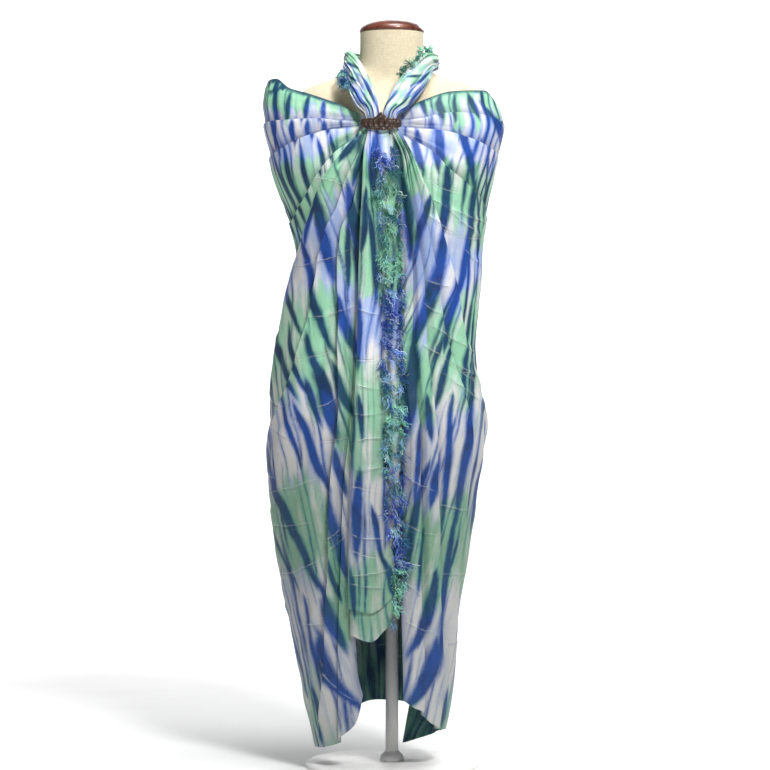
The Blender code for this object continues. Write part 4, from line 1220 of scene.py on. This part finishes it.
def make_strap(name, table, side, material):
    """A top corner gathered into a soft rope, from the ring to the nape."""
    share = np.linspace(0, 1, STRAP_STATIONS)
    middle, _, away, wide, half, thick = (part[:, None] for part in strap_frame(table, share))
    turn = np.linspace(0, 2 * math.pi, STRAP_SIDES, endpoint=False)
    down = share[:, None]
    across = power(np.cos(turn), 0.9)
    placed = across * side
    ripple = np.zeros((STRAP_STATIONS, STRAP_SIDES))
    crest = np.zeros_like(ripple)
    near = np.zeros_like(ripple)
    for at_ring, at_middle, at_nape, width, high in (row[1:] for row in STRAP_FOLDS if row[0] == side):
        place = smooth(down, (0, 0.45, 1), (at_ring, at_middle, at_nape)) * side
        place = place + 0.045 * np.sin(down * 23 + at_ring * 9)
        high = high * (0.75 + 0.35 * np.sin(down * 17 + at_ring * 21))
        near_crest = bump((across - place) / width)
        ripple = np.maximum(ripple, high * near_crest)
        crest = np.maximum(crest, near_crest)
    # painted shade between the strap's fold crests
    painted_shade = (1 - ease((crest - 0.04) / 0.34)) * ease(down / 0.03)
    ripple = ripple * np.abs(np.sin(turn)) ** 0.5 * ease(down / 0.04) * ease((1 - down) / 0.05)
    ripple = ripple - 0.0012 * np.abs(np.sin(turn))
    flat = across * half
    depth = power(np.sin(turn), 0.8) * thick + np.sign(np.sin(turn)) * ripple
    points = middle + flat[..., None] * wide + depth[..., None] * away
    for from_place, to_place, start, end, width in (row[1:] for row in STRAP_STREAKS if row[0] == side):
        run = (down - start) / (end - start)
        fat = width * np.sin(np.pi * np.clip(run, 0, 1)) ** 0.6
        gap = np.abs(placed - from_place - (to_place - from_place) * run + 0.05 * np.sin(down * 31))
        inside = (run > 0) & (run < 1)
        near = np.maximum(near, np.clip(0.5 + 0.5 * (fat - gap) / 0.16, 0, 1) * inside)
    length = np.broadcast_to(down, near.shape)
    green = np.interp(length, *zip(*STRAP_GREEN))
    if side < 0:
        green = green + ease((placed + 0.35) / -0.5) * ease((length - 0.2) / 0.15)
    else:
        green = green + 0.9 * bump((placed + 0.3) / 0.3) * ease((length - 0.04) / 0.08)
    green = np.clip(green + 0.5 * wobble(across * 0.02, length * 0.1, 8, 0.02), 0, 1)
    pale = np.clip(0.45 + 0.4 * wobble(across * 0.02, length * 0.1, 9, 0.015), 0, 1)
    fields = cloth_fields(np.stack([near, green, pale], -1), flat, 1.1 + length * 0.25, painted_shade)
    return mesh_object(name, points, tube_faces(STRAP_STATIONS, STRAP_SIDES), material, fields)


def make_nape(material):
    """The knot behind the neck and its two tails."""
    sides, rings = KNOT_CELLS
    turn = np.linspace(0, 2 * math.pi, sides, endpoint=False)
    tilt = np.radians(np.linspace(-76, 76, rings))[:, None]
    swirl = 1 + 0.1 * np.cos(5 * turn + 3.2 * tilt) - 0.1 * bump((tilt - 0.15 * np.cos(turn)) / 0.18)
    x = KNOT_HALF[0] * np.cos(tilt) * np.cos(turn) * swirl
    y = KNOT_HALF[1] * np.cos(tilt) * np.sin(turn) * swirl
    z = KNOT_HALF[2] * np.sin(tilt) + 0 * x
    points = np.stack([x, y, z], -1) + KNOT_CENTRE
    field = np.stack([0.5 + 0.5 * np.sin(turn * 3 + tilt * 4), 0.7 + 0 * x, 0.3 + 0 * x], -1)
    fields = cloth_fields(field, x, z + KNOT_CENTRE[2], 0 * x)
    made = [mesh_object("nape_knot_cloth", points, tube_faces(rings, sides), material, fields)]
    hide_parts("nape_knot")
    bottom = KNOT_CENTRE[2] - KNOT_HALF[2] * math.sin(math.radians(75)) - 0.0004
    for side, (top_x, tip_x, tip_z) in zip(("left", "right"), TAILS):
        share = np.linspace(0, 1, TAIL_CELLS[0])[:, None]
        across = np.linspace(-1, 1, TAIL_CELLS[1])
        half = TAIL_HALF[0] + (TAIL_HALF[1] - TAIL_HALF[0]) * share
        x = top_x + (tip_x - top_x) * share + half * across
        y = TAIL_Y + 0.002 * share + 0.0012 * across ** 2
        y = y + 0.0008 * np.cos(across * 8 + share * 3) * ease(share * 4)
        z = bottom + share * (tip_z + 0.004 * across ** 2 - bottom) + 0 * across
        out = np.broadcast_to((0.0, 1.0, 0.0), x.shape + (3,))
        field = dye(x, z, [(top_x, bottom, tip_x, tip_z, 0.0, 0.003, STRONG)], 71)
        fields = cloth_fields(field, x, z, 0 * x)
        tail = shell(side + "_tail_cloth", np.stack([x, y, z], -1), out, material, fields)
        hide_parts(side + "_tail")
        made.append(tail)
    return made


# Fringe


def strands(name, rows, material):
    """Fine curly strands as one object. A row is start, first way, fall, length, half size, colours, curl."""
    steps, sides = STRAND_CELLS
    points, faces, colours = [], [], []
    t = np.linspace(0, 1, steps)[:, None]
    turn = np.linspace(0, 2 * math.pi, sides, endpoint=False)
    for start, way, fall, length, half, colour, crimp in rows:
        reach = 1 - (1 - t) ** 2.2
        centre = start + way * reach + fall * length * t ** 1.25
        side = unit(np.cross(fall, way + 1e-6))
        front = unit(np.cross(side, fall))
        swing = crimp[0] * (np.sin(t * crimp[2] + crimp[3]) - math.sin(crimp[3])) * t ** 0.4
        sway = crimp[1] * (np.cos(t * crimp[2] + crimp[4]) - math.cos(crimp[4])) * t ** 0.4
        centre = centre + side * swing + front * sway
        size = half * (1 - 0.35 * t)
        round_it = side * np.cos(turn)[:, None] + front * np.sin(turn)[:, None]
        ring = centre[:, None] + round_it * size[:, None]
        faces += tube_faces(steps, sides, len(points) * steps * sides)
        points.append(ring)
        colours.append(np.repeat(np.tile(colour, (steps, 1)), sides, axis=0))
    fields = {"yarn": np.concatenate(colours)}
    return mesh_object(name, np.concatenate(points), faces, material, fields, sharp=80.0)


def fringe_rows(path, down, side, out, locks, each, reach, length, tone, seed):
    """Rows for strands(): uneven tufts along a path, each of several curly strands.

    tone is how much greener, how much paler and how far in front they are than those of the plain flap.
    """
    rng = np.random.default_rng(seed)
    share = np.linspace(0, 1, len(path))
    table = np.array(FRINGE_BANDS)
    rows = []
    for number in range(locks):
        middle = (number + rng.uniform(0.1, 0.9)) / locks
        turn = rng.uniform(-0.9, 1.2)
        long = length * rng.uniform(0.45, 1.0)
        far = reach * rng.uniform(0.0, 1.0)
        lift = rng.uniform(0.0005, 0.0060)
        hue = rng.uniform(-0.48, 0.48, 2)
        curl = rng.uniform(0.0014, 0.0036)
        for _ in range(each):
            where = np.clip(middle + rng.normal(0, 0.35) / locks, 0, 1)
            start, fall, aside, ahead = (
                np.array([np.interp(where, share, values[:, k]) for k in range(3)])
                for values in (path, down, side, out)
            )
            over = far + reach * rng.normal(0, 0.10)
            start = start + ahead * (tone[2] + rng.uniform(-0.0004, 0.0016)) + aside * (0.62 * over - 0.0025)
            way = aside * 0.38 * over * rng.uniform(0.0, 1.4) + ahead * (lift + rng.uniform(-0.001, 0.002))
            bent = turn + rng.normal(0, 0.28)
            fall = unit(fall * math.cos(bent) + aside * math.sin(bent) * 0.8)
            green, pale = (np.interp(start[2], table[:, 0], table[:, k]) for k in (1, 2))
            green = green + tone[0] + hue[0] + rng.uniform(-0.15, 0.15)
            pale = pale + tone[1] + hue[1] + rng.uniform(-0.25, 0.25)
            crimp = (
                curl * rng.uniform(0.6, 1.4),
                curl * rng.uniform(0.4, 1.0),
                rng.uniform(6, 15),
                rng.uniform(0, 6.3),
                rng.uniform(0, 6.3),
            )
            half = rng.choice((0.00040, 0.00085), p=(0.6, 0.4)) * rng.uniform(0.8, 1.2)
            # its third value picks the few strands that get a painted highlight
            colour = np.clip((green, pale, rng.uniform()), 0, 1)
            rows.append((start, way, fall, long * rng.uniform(0.5, 1.0), half, colour, crimp))
    return rows


def flap_path(table, off, top, bottom):
    height = np.linspace(top, bottom, 80)
    x = read(table, height, (2,))[0]
    edge, out = on_body(angle_at(x, height), height, flap_off(height, x, off) - THICK / 2)
    side = unit(np.cross(out, np.broadcast_to((0.0, 0.0, -1.0), out.shape)))
    side = side * np.sign(side[:, :1])
    return edge, unit(np.gradient(edge, axis=0)), side, out


def strap_path(table, first, last, inset=0.0):
    middle, along, away, wide, half, thick = strap_frame(table, np.linspace(0, 1, 121))
    keep = slice(int(first * 120), int(last * 120) + 1)
    path = middle - wide * (1 - inset) * half[:, None] + away * min(1.0, 3 * inset) * thick[:, None]
    path = path[keep][::-1]
    return path, -along[keep][::-1], -wide[keep][::-1], away[keep][::-1]


# Ring, form and stand


def make_ring(material):
    """The carved ring: an outer face of leaves between two grooves, and a plain inside."""
    turn = np.linspace(0, 2 * math.pi, RING_SIDES, endpoint=False)
    front = np.clip(-np.sin(turn), 0, 1)
    x = np.cos(turn)
    peak = RING_PEAK * bump(x * RING_HALF[0] / RING_PEAK_WIDTH) * (front > 0)
    top = 0.0050 + 0.0025 * front + peak
    low = -0.0050 - 0.0085 * front * (1 - 0.35 * x * x)
    lobes = RING_LOBE_DEPTH * np.abs(np.cos(RING_LOBES * turn / 2)) * front
    rings = []
    face = np.linspace(0, 1, 25)
    for share in face:
        roll = 0.0010 * (2 * share - 1) ** 4
        groove = RING_GROOVE * (bump((share - 0.18) / 0.045) + bump((share - 0.80) / 0.045))
        leaf = 0.0013 * np.sin(turn * 25 + 5 * np.sin(share * 3.1)) * np.sin(np.pi * share) ** 1.5
        petal = 0.0009 * np.cos(turn * 50) * bump((share - 0.5) / 0.22)
        out = lobes + (leaf + petal) * front - groove - roll
        rings.append((RING_HALF[0] + out, RING_HALF[1] + out, low + (top - low) * share))
    for share in face[::-1][::4]:
        inset = RING_WALL + 0.0003 * np.sin(np.pi * share)
        rings.append((RING_HALF[0] - inset + 0 * x, RING_HALF[1] - inset + 0 * x, low + (top - low) * share))
    points = [
        np.stack([RING_CENTRE[0] + a * x, RING_CENTRE[1] + b * np.sin(turn), RING_CENTRE[2] + z], -1)
        for a, b, z in rings
    ]
    faces = tube_faces(len(rings), RING_SIDES, closed=True)
    made = mesh_object("ring_wood", np.concatenate(points), faces, material, sharp=50.0)
    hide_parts("ring")
    return made


def make_form(cover, cap, stand):
    """The dress form, its cap, base and pole, by the name of their slot."""
    rings, sides = FORM_CELLS
    height = np.linspace(FORM[0][0], FORM[-1][0], rings)[:, None]
    turn = np.linspace(0, 2 * math.pi, sides, endpoint=False)
    half, ahead, behind = read(FORM, height, (1, 2, 3))
    depth = np.where(np.cos(turn) > 0, ahead, behind)
    x = half * power(np.sin(turn), FORM_SQUARENESS)
    y = -depth * power(np.cos(turn), FORM_SQUARENESS)
    points = np.stack([x, y, height + 0 * x], -1)
    body = mesh_object("form_cover", points, tube_faces(rings, sides), cover, sharp=60.0)
    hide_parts("dress_form")
    dome = [(CAP_RADIUS * 0.955, CAP_BOTTOM), (CAP_RADIUS * 0.985, CAP_BOTTOM + 0.0008)]
    for lift in np.linspace(0, 89, 24):
        angle = math.radians(lift)
        rise = CAP_BOTTOM + 0.003 + (CAP_HEIGHT - 0.003) * math.sin(angle)
        dome.append((CAP_RADIUS * math.cos(angle) ** 0.9, rise))
    top = turned_object("cap_wood", dome, cap, centre=(0.0, 0.0025))
    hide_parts("neck_cap")
    plate = [(BASE_RADIUS - inset, height) for inset, height in BASE_PROFILE]
    base = turned_object("base_plate", plate, stand, sides=160)
    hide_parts("base")
    bottom, top_of_pole = BASE_HEIGHT + JOINT_GAP, FORM[0][0] - JOINT_GAP
    post = [(POLE_RADIUS * share, bottom + lift) for share, lift in POLE_FOOT]
    post += [(POLE_RADIUS * share, top_of_pole - drop) for share, drop in POLE_TOP]
    pole = turned_object("pole_tube", post, stand, sides=64)
    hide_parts("pole")
    return {"form_cover": [body], "cap": [top], "stand": [base, pole]}


# Materials


class Nodes:
    """Short ways to add and link shader nodes."""

    def __init__(self, name):
        self.material = bpy.data.materials.new(name)
        self.material.use_nodes = True
        self.tree = self.material.node_tree
        self.shader = self.tree.nodes["Principled BSDF"]

    def put(self, socket, value):
        if isinstance(value, bpy.types.NodeSocket):
            self.tree.links.new(value, socket)
        elif socket.type == "RGBA" and len(value) == 3:
            socket.default_value = (*value, 1.0)
        else:
            socket.default_value = value

    def make(self, kind, settings, inputs, output=0):
        """A node with its settings by name and its inputs by name or number, given as one of its outputs."""
        made = self.tree.nodes.new("ShaderNode" + kind)
        for key, value in settings.items():
            setattr(made, key, value)
        for key, value in inputs.items():
            self.put(made.inputs[key], value)
        return made.outputs[output]

    def field(self, name):
        return self.make("Attribute", {"attribute_name": name}, {}, "Vector")

    def place(self):
        return self.make("TexCoord", {}, {}, "Object")

    def parts(self, vector):
        made = self.tree.nodes.new("ShaderNodeSeparateXYZ")
        self.put(made.inputs[0], vector)
        return tuple(made.outputs)

    def math(self, kind, first, second=0.0):
        return self.make("Math", {"operation": kind}, {0: first, 1: second})

    def noise(self, vector, scale, detail=2.0, rough=0.5):
        scaled = self.make("Mapping", {}, {"Vector": vector, "Scale": scale})
        inputs = {"Vector": scaled, "Scale": 1.0, "Detail": detail, "Roughness": rough}
        return self.make("TexNoise", {}, inputs, "Fac")

    def ramp(self, value, low, high, to_low=0.0, to_high=1.0):
        inputs = {"Value": value, "From Min": low, "From Max": high, "To Min": to_low, "To Max": to_high}
        return self.make("MapRange", {"interpolation_type": "SMOOTHSTEP"}, inputs)

    def mix(self, share, first, second, kind="MIX"):
        inputs = {0: share, 6: first, 7: second}
        return self.make("Mix", {"data_type": "RGBA", "blend_type": kind}, inputs, 2)

    def bump(self, height, distance, strength=1.0, under=None):
        inputs = {"Height": height, "Distance": distance, "Strength": strength}
        if under is not None:
            inputs["Normal"] = under
        return self.make("Bump", {}, inputs)

    def set(self, **values):
        for key, value in values.items():
            self.put(self.shader.inputs[key.replace("_", " ")], value)
        return self.material


# Each *_MUTED_SHADED colour is a darker, more muted copy of another, used lower down: partly the dye's tone
# there, partly painted shade
LAVENDER = (0.335, 0.435, 0.690)
MINT = (0.290, 0.600, 0.385)
MINT_MUTED_SHADED = (0.165, 0.300, 0.200)
WHITE = (0.720, 0.710, 0.700)
LAVENDER_MUTED_SHADED = (0.255, 0.295, 0.360)
WHITE_MUTED_SHADED = (0.435, 0.435, 0.420)
ROYAL = (0.005, 0.056, 0.310)
ROYAL_MUTED_SHADED = (0.004, 0.043, 0.200)
TEAL = (0.003, 0.044, 0.105)
NAVY = (0.003, 0.018, 0.080)
HALO_MUTED_SHADED = (0.090, 0.140, 0.280)
HIGH_HALO = (0.130, 0.220, 0.620)
GREEN_HALO = (0.080, 0.260, 0.200)


def cloth_material():
    """Thin rayon, tie-dyed: soft streaks over bands of green and lavender, with slubs in the weave."""
    n = Nodes("tie_dyed_rayon")
    near, green, pale = n.parts(n.field("dye"))
    cloth = n.field("cloth")
    _, tall, painted_shade = n.parts(cloth)
    over, strong, way_out = n.parts(n.field("crease"))

    def shifted(value, source, amount):
        return n.math("ADD", value, n.math("MULTIPLY", n.math("SUBTRACT", source, 0.5), amount))

    over = shifted(over, n.noise(cloth, (130, 130, 0), 3.0), 0.0042)
    patchy = n.noise(cloth, (75, 75, 0), 2.0)
    strong = n.math("MULTIPLY", strong, n.ramp(patchy, 0.36, 0.56, 0.15, 1.0))
    # a paler line along each crease, partly the crease's own wear and partly painted highlight, with painted
    # shadow just beside it
    crease_line_and_highlight = n.math("MULTIPLY", n.ramp(n.math("ABSOLUTE", over), 0.0, 0.0022, 1.0, 0.0), strong)
    beside_painted_shade = n.ramp(n.math("ABSOLUTE", n.math("ADD", over, 0.0034)), 0.0, 0.0034, 1.0, 0.0)
    beside_painted_shade = n.math("MULTIPLY", beside_painted_shade, strong)
    along = n.noise(cloth, (150, 16, 0), 3.0)
    patch = n.noise(cloth, (34, 22, 0), 3.0)
    fine = n.noise(cloth, (420, 90, 0), 2.0)
    slub_across = n.noise(cloth, (60, 900, 0), 2.0)
    slub_down = n.noise(cloth, (900, 50, 0), 2.0)
    near = n.math("MAXIMUM", near, -0.25)
    edge = shifted(shifted(shifted(near, along, 0.55), patch, 0.30), fine, 0.22)
    streak = n.ramp(edge, 0.30, 0.80)
    halo = n.ramp(edge, -0.02, 0.58, 0.0, 0.72)
    greenness = n.ramp(shifted(shifted(green, patch, 0.70), along, 0.55), 0.12, 0.88)
    paleness = n.ramp(shifted(shifted(pale, patch, 0.90), along, 0.95), 0.18, 0.95)
    # lower down, darker and more muted copies of each colour: partly the dye's tone there, partly painted
    # shade
    upper = n.ramp(tall, 0.42, 0.78)
    ground = n.mix(greenness, n.mix(upper, LAVENDER_MUTED_SHADED, LAVENDER), n.mix(upper, MINT_MUTED_SHADED, MINT))
    ground = n.mix(paleness, ground, n.mix(upper, WHITE_MUTED_SHADED, WHITE))
    tint = n.mix(greenness, n.mix(upper, HALO_MUTED_SHADED, HIGH_HALO), GREEN_HALO)
    ground = n.mix(halo, ground, tint)
    deep = n.mix(greenness, n.mix(upper, ROYAL_MUTED_SHADED, ROYAL), TEAL)
    deep = n.mix(n.ramp(patch, 0.44, 0.68, 0.0, 0.65), deep, NAVY)
    colour = n.mix(streak, ground, deep)
    weave = n.math("ADD", n.math("MULTIPLY", slub_across, 0.5), n.math("MULTIPLY", slub_down, 0.5))
    colour = n.mix(n.ramp(weave, 0.35, 0.65, 0.0, 0.16), colour, (0.9, 0.9, 0.92), "SOFT_LIGHT")
    colour = n.mix(n.math("MULTIPLY", crease_line_and_highlight, 0.26), colour, (0.78, 0.84, 0.82))
    # painted shade beside the creases and in the folds' valleys
    shade = n.mix(greenness, (0.030, 0.050, 0.170), (0.010, 0.075, 0.060))
    colour = n.mix(n.math("MULTIPLY", beside_painted_shade, 0.32), colour, shade)
    colour = n.mix(n.math("MULTIPLY", painted_shade, 0.86), colour, shade)
    crumple = n.noise(cloth, (38, 30, 0), 4.0, 0.6)
    normal = n.bump(crumple, 0.0035, 0.55)
    normal = n.bump(n.math("MULTIPLY", crease_line_and_highlight, way_out), 0.0016, 0.8, normal)
    normal = n.bump(weave, 0.00025, 0.8, normal)
    return n.set(
        Base_Color=colour,
        Roughness=n.ramp(weave, 0.3, 0.7, 0.66, 0.50),
        Normal=normal,
        Sheen_Weight=0.12,
        Sheen_Roughness=0.4,
        Specular_IOR_Level=0.35,
    )


def fringe_material():
    n = Nodes("dyed_yarn")
    green, pale, painted_highlight_chance = n.parts(n.field("yarn"))
    deep = n.mix(green, (0.006, 0.045, 0.430), (0.004, 0.150, 0.085))
    light = n.mix(green, (0.260, 0.440, 0.960), (0.340, 0.860, 0.560))
    colour = n.mix(n.ramp(pale, 0.20, 0.85), deep, light)
    twist = n.noise(n.place(), (900, 900, 260), 2.0)
    colour = n.mix(n.ramp(twist, 0.35, 0.7, 0.0, 0.25), colour, (0.005, 0.03, 0.12))
    # painted highlight: a few strands made whitish
    colour = n.mix(n.ramp(painted_highlight_chance, 0.80, 1.0, 0.0, 0.65), colour, (0.82, 0.92, 0.94))
    normal = n.bump(twist, 0.0004, 0.8)
    rough = n.ramp(twist, 0.3, 0.7, 0.75, 0.55)
    return n.set(Base_Color=colour, Roughness=rough, Normal=normal, Sheen_Weight=0.05)


def wood_material(name, dark, light, grain, rough, coat):
    n = Nodes(name)
    place = n.place()
    lines = n.noise(place, grain, 4.0, 0.6)
    pores = n.noise(place, tuple(5 * g for g in grain), 2.0)
    colour = n.mix(n.ramp(lines, 0.34, 0.68), dark, light)
    colour = n.mix(n.ramp(pores, 0.55, 0.75, 0.0, 0.6), colour, tuple(0.35 * c for c in dark))
    normal = n.bump(pores, 0.0004, 0.5)
    return n.set(
        Base_Color=colour,
        Roughness=n.ramp(lines, 0.3, 0.7, rough, rough + 0.14),
        Normal=normal,
        Coat_Weight=coat,
        Coat_Roughness=0.22,
    )


def linen_material():
    n = Nodes("form_linen")
    place = n.place()
    warp = n.noise(place, (1300, 1300, 110), 2.0)
    weft = n.noise(place, (110, 110, 1500), 2.0)
    weave = n.math("MULTIPLY", n.math("ADD", warp, weft), 0.5)
    stain = n.noise(place, (9, 9, 7), 3.0)
    colour = n.mix(n.ramp(weave, 0.36, 0.64), (0.640, 0.540, 0.370), (0.790, 0.700, 0.520))
    colour = n.mix(n.ramp(stain, 0.4, 0.75, 0.0, 0.35), colour, (0.720, 0.610, 0.430))
    return n.set(
        Base_Color=colour,
        Roughness=n.ramp(weave, 0.3, 0.7, 0.92, 0.80),
        Normal=n.bump(weave, 0.0004, 0.8),
        Sheen_Weight=0.15,
    )


def stand_material():
    n = Nodes("painted_stand")
    place = n.place()
    orange_peel = n.noise(place, (420, 420, 420), 2.0)
    scuffs = n.noise(place, (55, 55, 55), 4.0, 0.7)
    colour = n.mix(n.ramp(scuffs, 0.45, 0.80), (0.880, 0.875, 0.860), (0.800, 0.795, 0.780))
    return n.set(
        Base_Color=colour,
        Roughness=n.ramp(scuffs, 0.3, 0.7, 0.38, 0.52),
        Normal=n.bump(orange_peel, 0.0001, 0.4),
    )


# Studio


SKY = 0.12
MIDDLE = (-0.02, 0.0, 0.75)  # of the garment
LAMPS = (
    # name, place, what it points at, size, power
    ("key", (1.1, -2.6, 3.3), MIDDLE, 0.7, 124.0),
    ("fill", (-2.4, -2.6, 1.1), MIDDLE, 1.4, 8.0),
    ("over", (0.3, -0.5, 3.6), MIDDLE, 1.2, 62.0),
    ("rear", (1.6, 2.9, 2.4), MIDDLE, 1.6, 28.0),
    ("wall", (0.0, 3.4, 4.2), (-0.02, 7.0, 0.75), 3.0, 260.0),
)
# The paper behind: floor from the near to the far edge, a curve up and a wall
PAPER_HALF = 9.0
FLOOR_END = 5.6
PAPER_CURVE = 1.4


def make_studio():
    n = Nodes("backdrop_paper")
    grain = n.noise(n.place(), (7, 7, 7), 3.0)
    n.set(Base_Color=n.mix(n.ramp(grain, 0.3, 0.7), 3 * (0.905,), 3 * (0.925,)), Roughness=0.9)
    run = [(y, 0.0) for y in np.linspace(-PAPER_HALF, FLOOR_END, 16)]
    for turn in np.linspace(0.1, math.pi / 2, 14):
        run.append((FLOOR_END + PAPER_CURVE * math.sin(turn), PAPER_CURVE * (1 - math.cos(turn))))
    run += [(FLOOR_END + PAPER_CURVE, z) for z in np.linspace(1.8, PAPER_HALF, 8)]
    across = np.linspace(-PAPER_HALF, PAPER_HALF, 11)
    points = [(x, y, z) for y, z in run for x in across]
    mesh = bpy.data.meshes.new("backdrop")
    mesh.from_pydata(points, [], grid_faces(len(run), len(across)).tolist())
    mesh.materials.append(n.material)
    mesh.shade_smooth()
    linked("backdrop", mesh)
    world = bpy.data.worlds.new("studio")
    world.use_nodes = True
    sky = world.node_tree.nodes["Background"]
    sky.inputs["Color"].default_value = (1.0, 1.0, 1.0, 1.0)
    sky.inputs["Strength"].default_value = SKY
    bpy.context.scene.world = world
    for name, place, aim_at, size, watts in LAMPS:
        lamp = bpy.data.lights.new(name, "AREA")
        lamp.shape = "DISK"
        lamp.size = size
        lamp.energy = watts
        made = linked(name, lamp)
        made.location = place
        aim = np.array(aim_at) - np.array(place)
        flat = math.hypot(aim[0], aim[1])
        made.rotation_euler = (math.pi / 2 + math.atan2(aim[2], flat), 0.0, math.atan2(-aim[0], aim[1]))
    lens = bpy.data.cameras.new("view")
    lens.lens = LENS
    lens.sensor_width = FILM
    lens.clip_end = 30.0
    camera = linked("view", lens)
    camera.location = VIEWER
    camera.rotation_euler = (math.pi / 2, 0.0, 0.0)
    bpy.context.scene.camera = camera
    bpy.context.scene.view_settings.view_transform = "Standard"


# Put together


# Grain of the two woods: dark and light colour, scale, roughness, varnish
RING_WOOD = ((0.010, 0.005, 0.004), (0.085, 0.038, 0.020), (170, 170, 330), 0.36, 0.35)
CAP_WOOD = ((0.070, 0.016, 0.010), (0.190, 0.050, 0.026), (26, 180, 60), 0.26, 0.6)
FRINGES = (
    # node, tufts, strands in each, reach, length, tone (see fringe_rows), seed
    ("front_fringe", 150, 12, 0.026, 0.027, (0, 0, 0), 51),
    ("under_fringe", 100, 9, 0.006, 0.026, (0, -0.1, 0), 52),
    ("right_strap_fringe", 34, 10, 0.011, 0.015, (1.3, 0.2, 0), 53),
    ("left_strap_fringe", 24, 13, 0.011, 0.022, (0.45, 0.1, 0.001), 54),
)


def fringe_paths():
    """The edges that the fringes run along, in the order of FRINGES."""
    return (
        flap_path(FRONT_FLAP, FRONT_FLAP_OFF, 1.070, 0.302),
        flap_path(UNDER_FLAP, UNDER_FLAP_OFF, 1.072, 0.245),
        strap_path(RIGHT_STRAP, 0.30, 0.58),
        strap_path(LEFT_STRAP, 0.30, 0.46, 0.32),
    )


def main():
    cloth = cloth_material()
    yarn = fringe_material()
    creases = crease_rows()
    wrap = make_wrap(cloth, creases)
    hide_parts("left_wrap", "back_wrap", "right_wrap")
    shape = (LEFT_DRAPE, LEFT_CELLS, LEFT_HEM, LEFT_PLEATS, LEFT_GATHERS, LEFT_STREAKS)
    left = make_drape("left_drape_cloth", -1, *shape, creases, cloth, 4)
    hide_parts("left_drape")
    shape = (RIGHT_DRAPE, RIGHT_CELLS, RIGHT_HEM, RIGHT_PLEATS, RIGHT_GATHERS, RIGHT_STREAKS)
    right = make_drape("right_drape_cloth", 1, *shape, creases, cloth, 5)
    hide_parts("right_drape")
    front = make_flap("front_flap_cloth", FRONT_FLAP, FRONT_FLAP_HEM, FRONT_FLAP_OFF, creases, cloth, 6)
    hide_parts("front_flap")
    under = make_flap("under_flap_cloth", UNDER_FLAP, UNDER_FLAP_HEM, UNDER_FLAP_OFF, creases, cloth, 7)
    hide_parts("under_flap")
    for side, name, table in ((-1, "left_strap", LEFT_STRAP), (1, "right_strap", RIGHT_STRAP)):
        strap = make_strap(name + "_cloth", table, side, cloth)
        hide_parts(name)
    nape = make_nape(cloth)
    for path, (name, *sizes) in zip(fringe_paths(), FRINGES):
        made = strands(name + "_yarn", fringe_rows(*path, *sizes), yarn)
        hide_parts(name)
    ring = make_ring(wood_material("ring_carved", *RING_WOOD))
    stand = make_form(linen_material(), wood_material("cap_mahogany", *CAP_WOOD), stand_material())
    make_studio()


main()
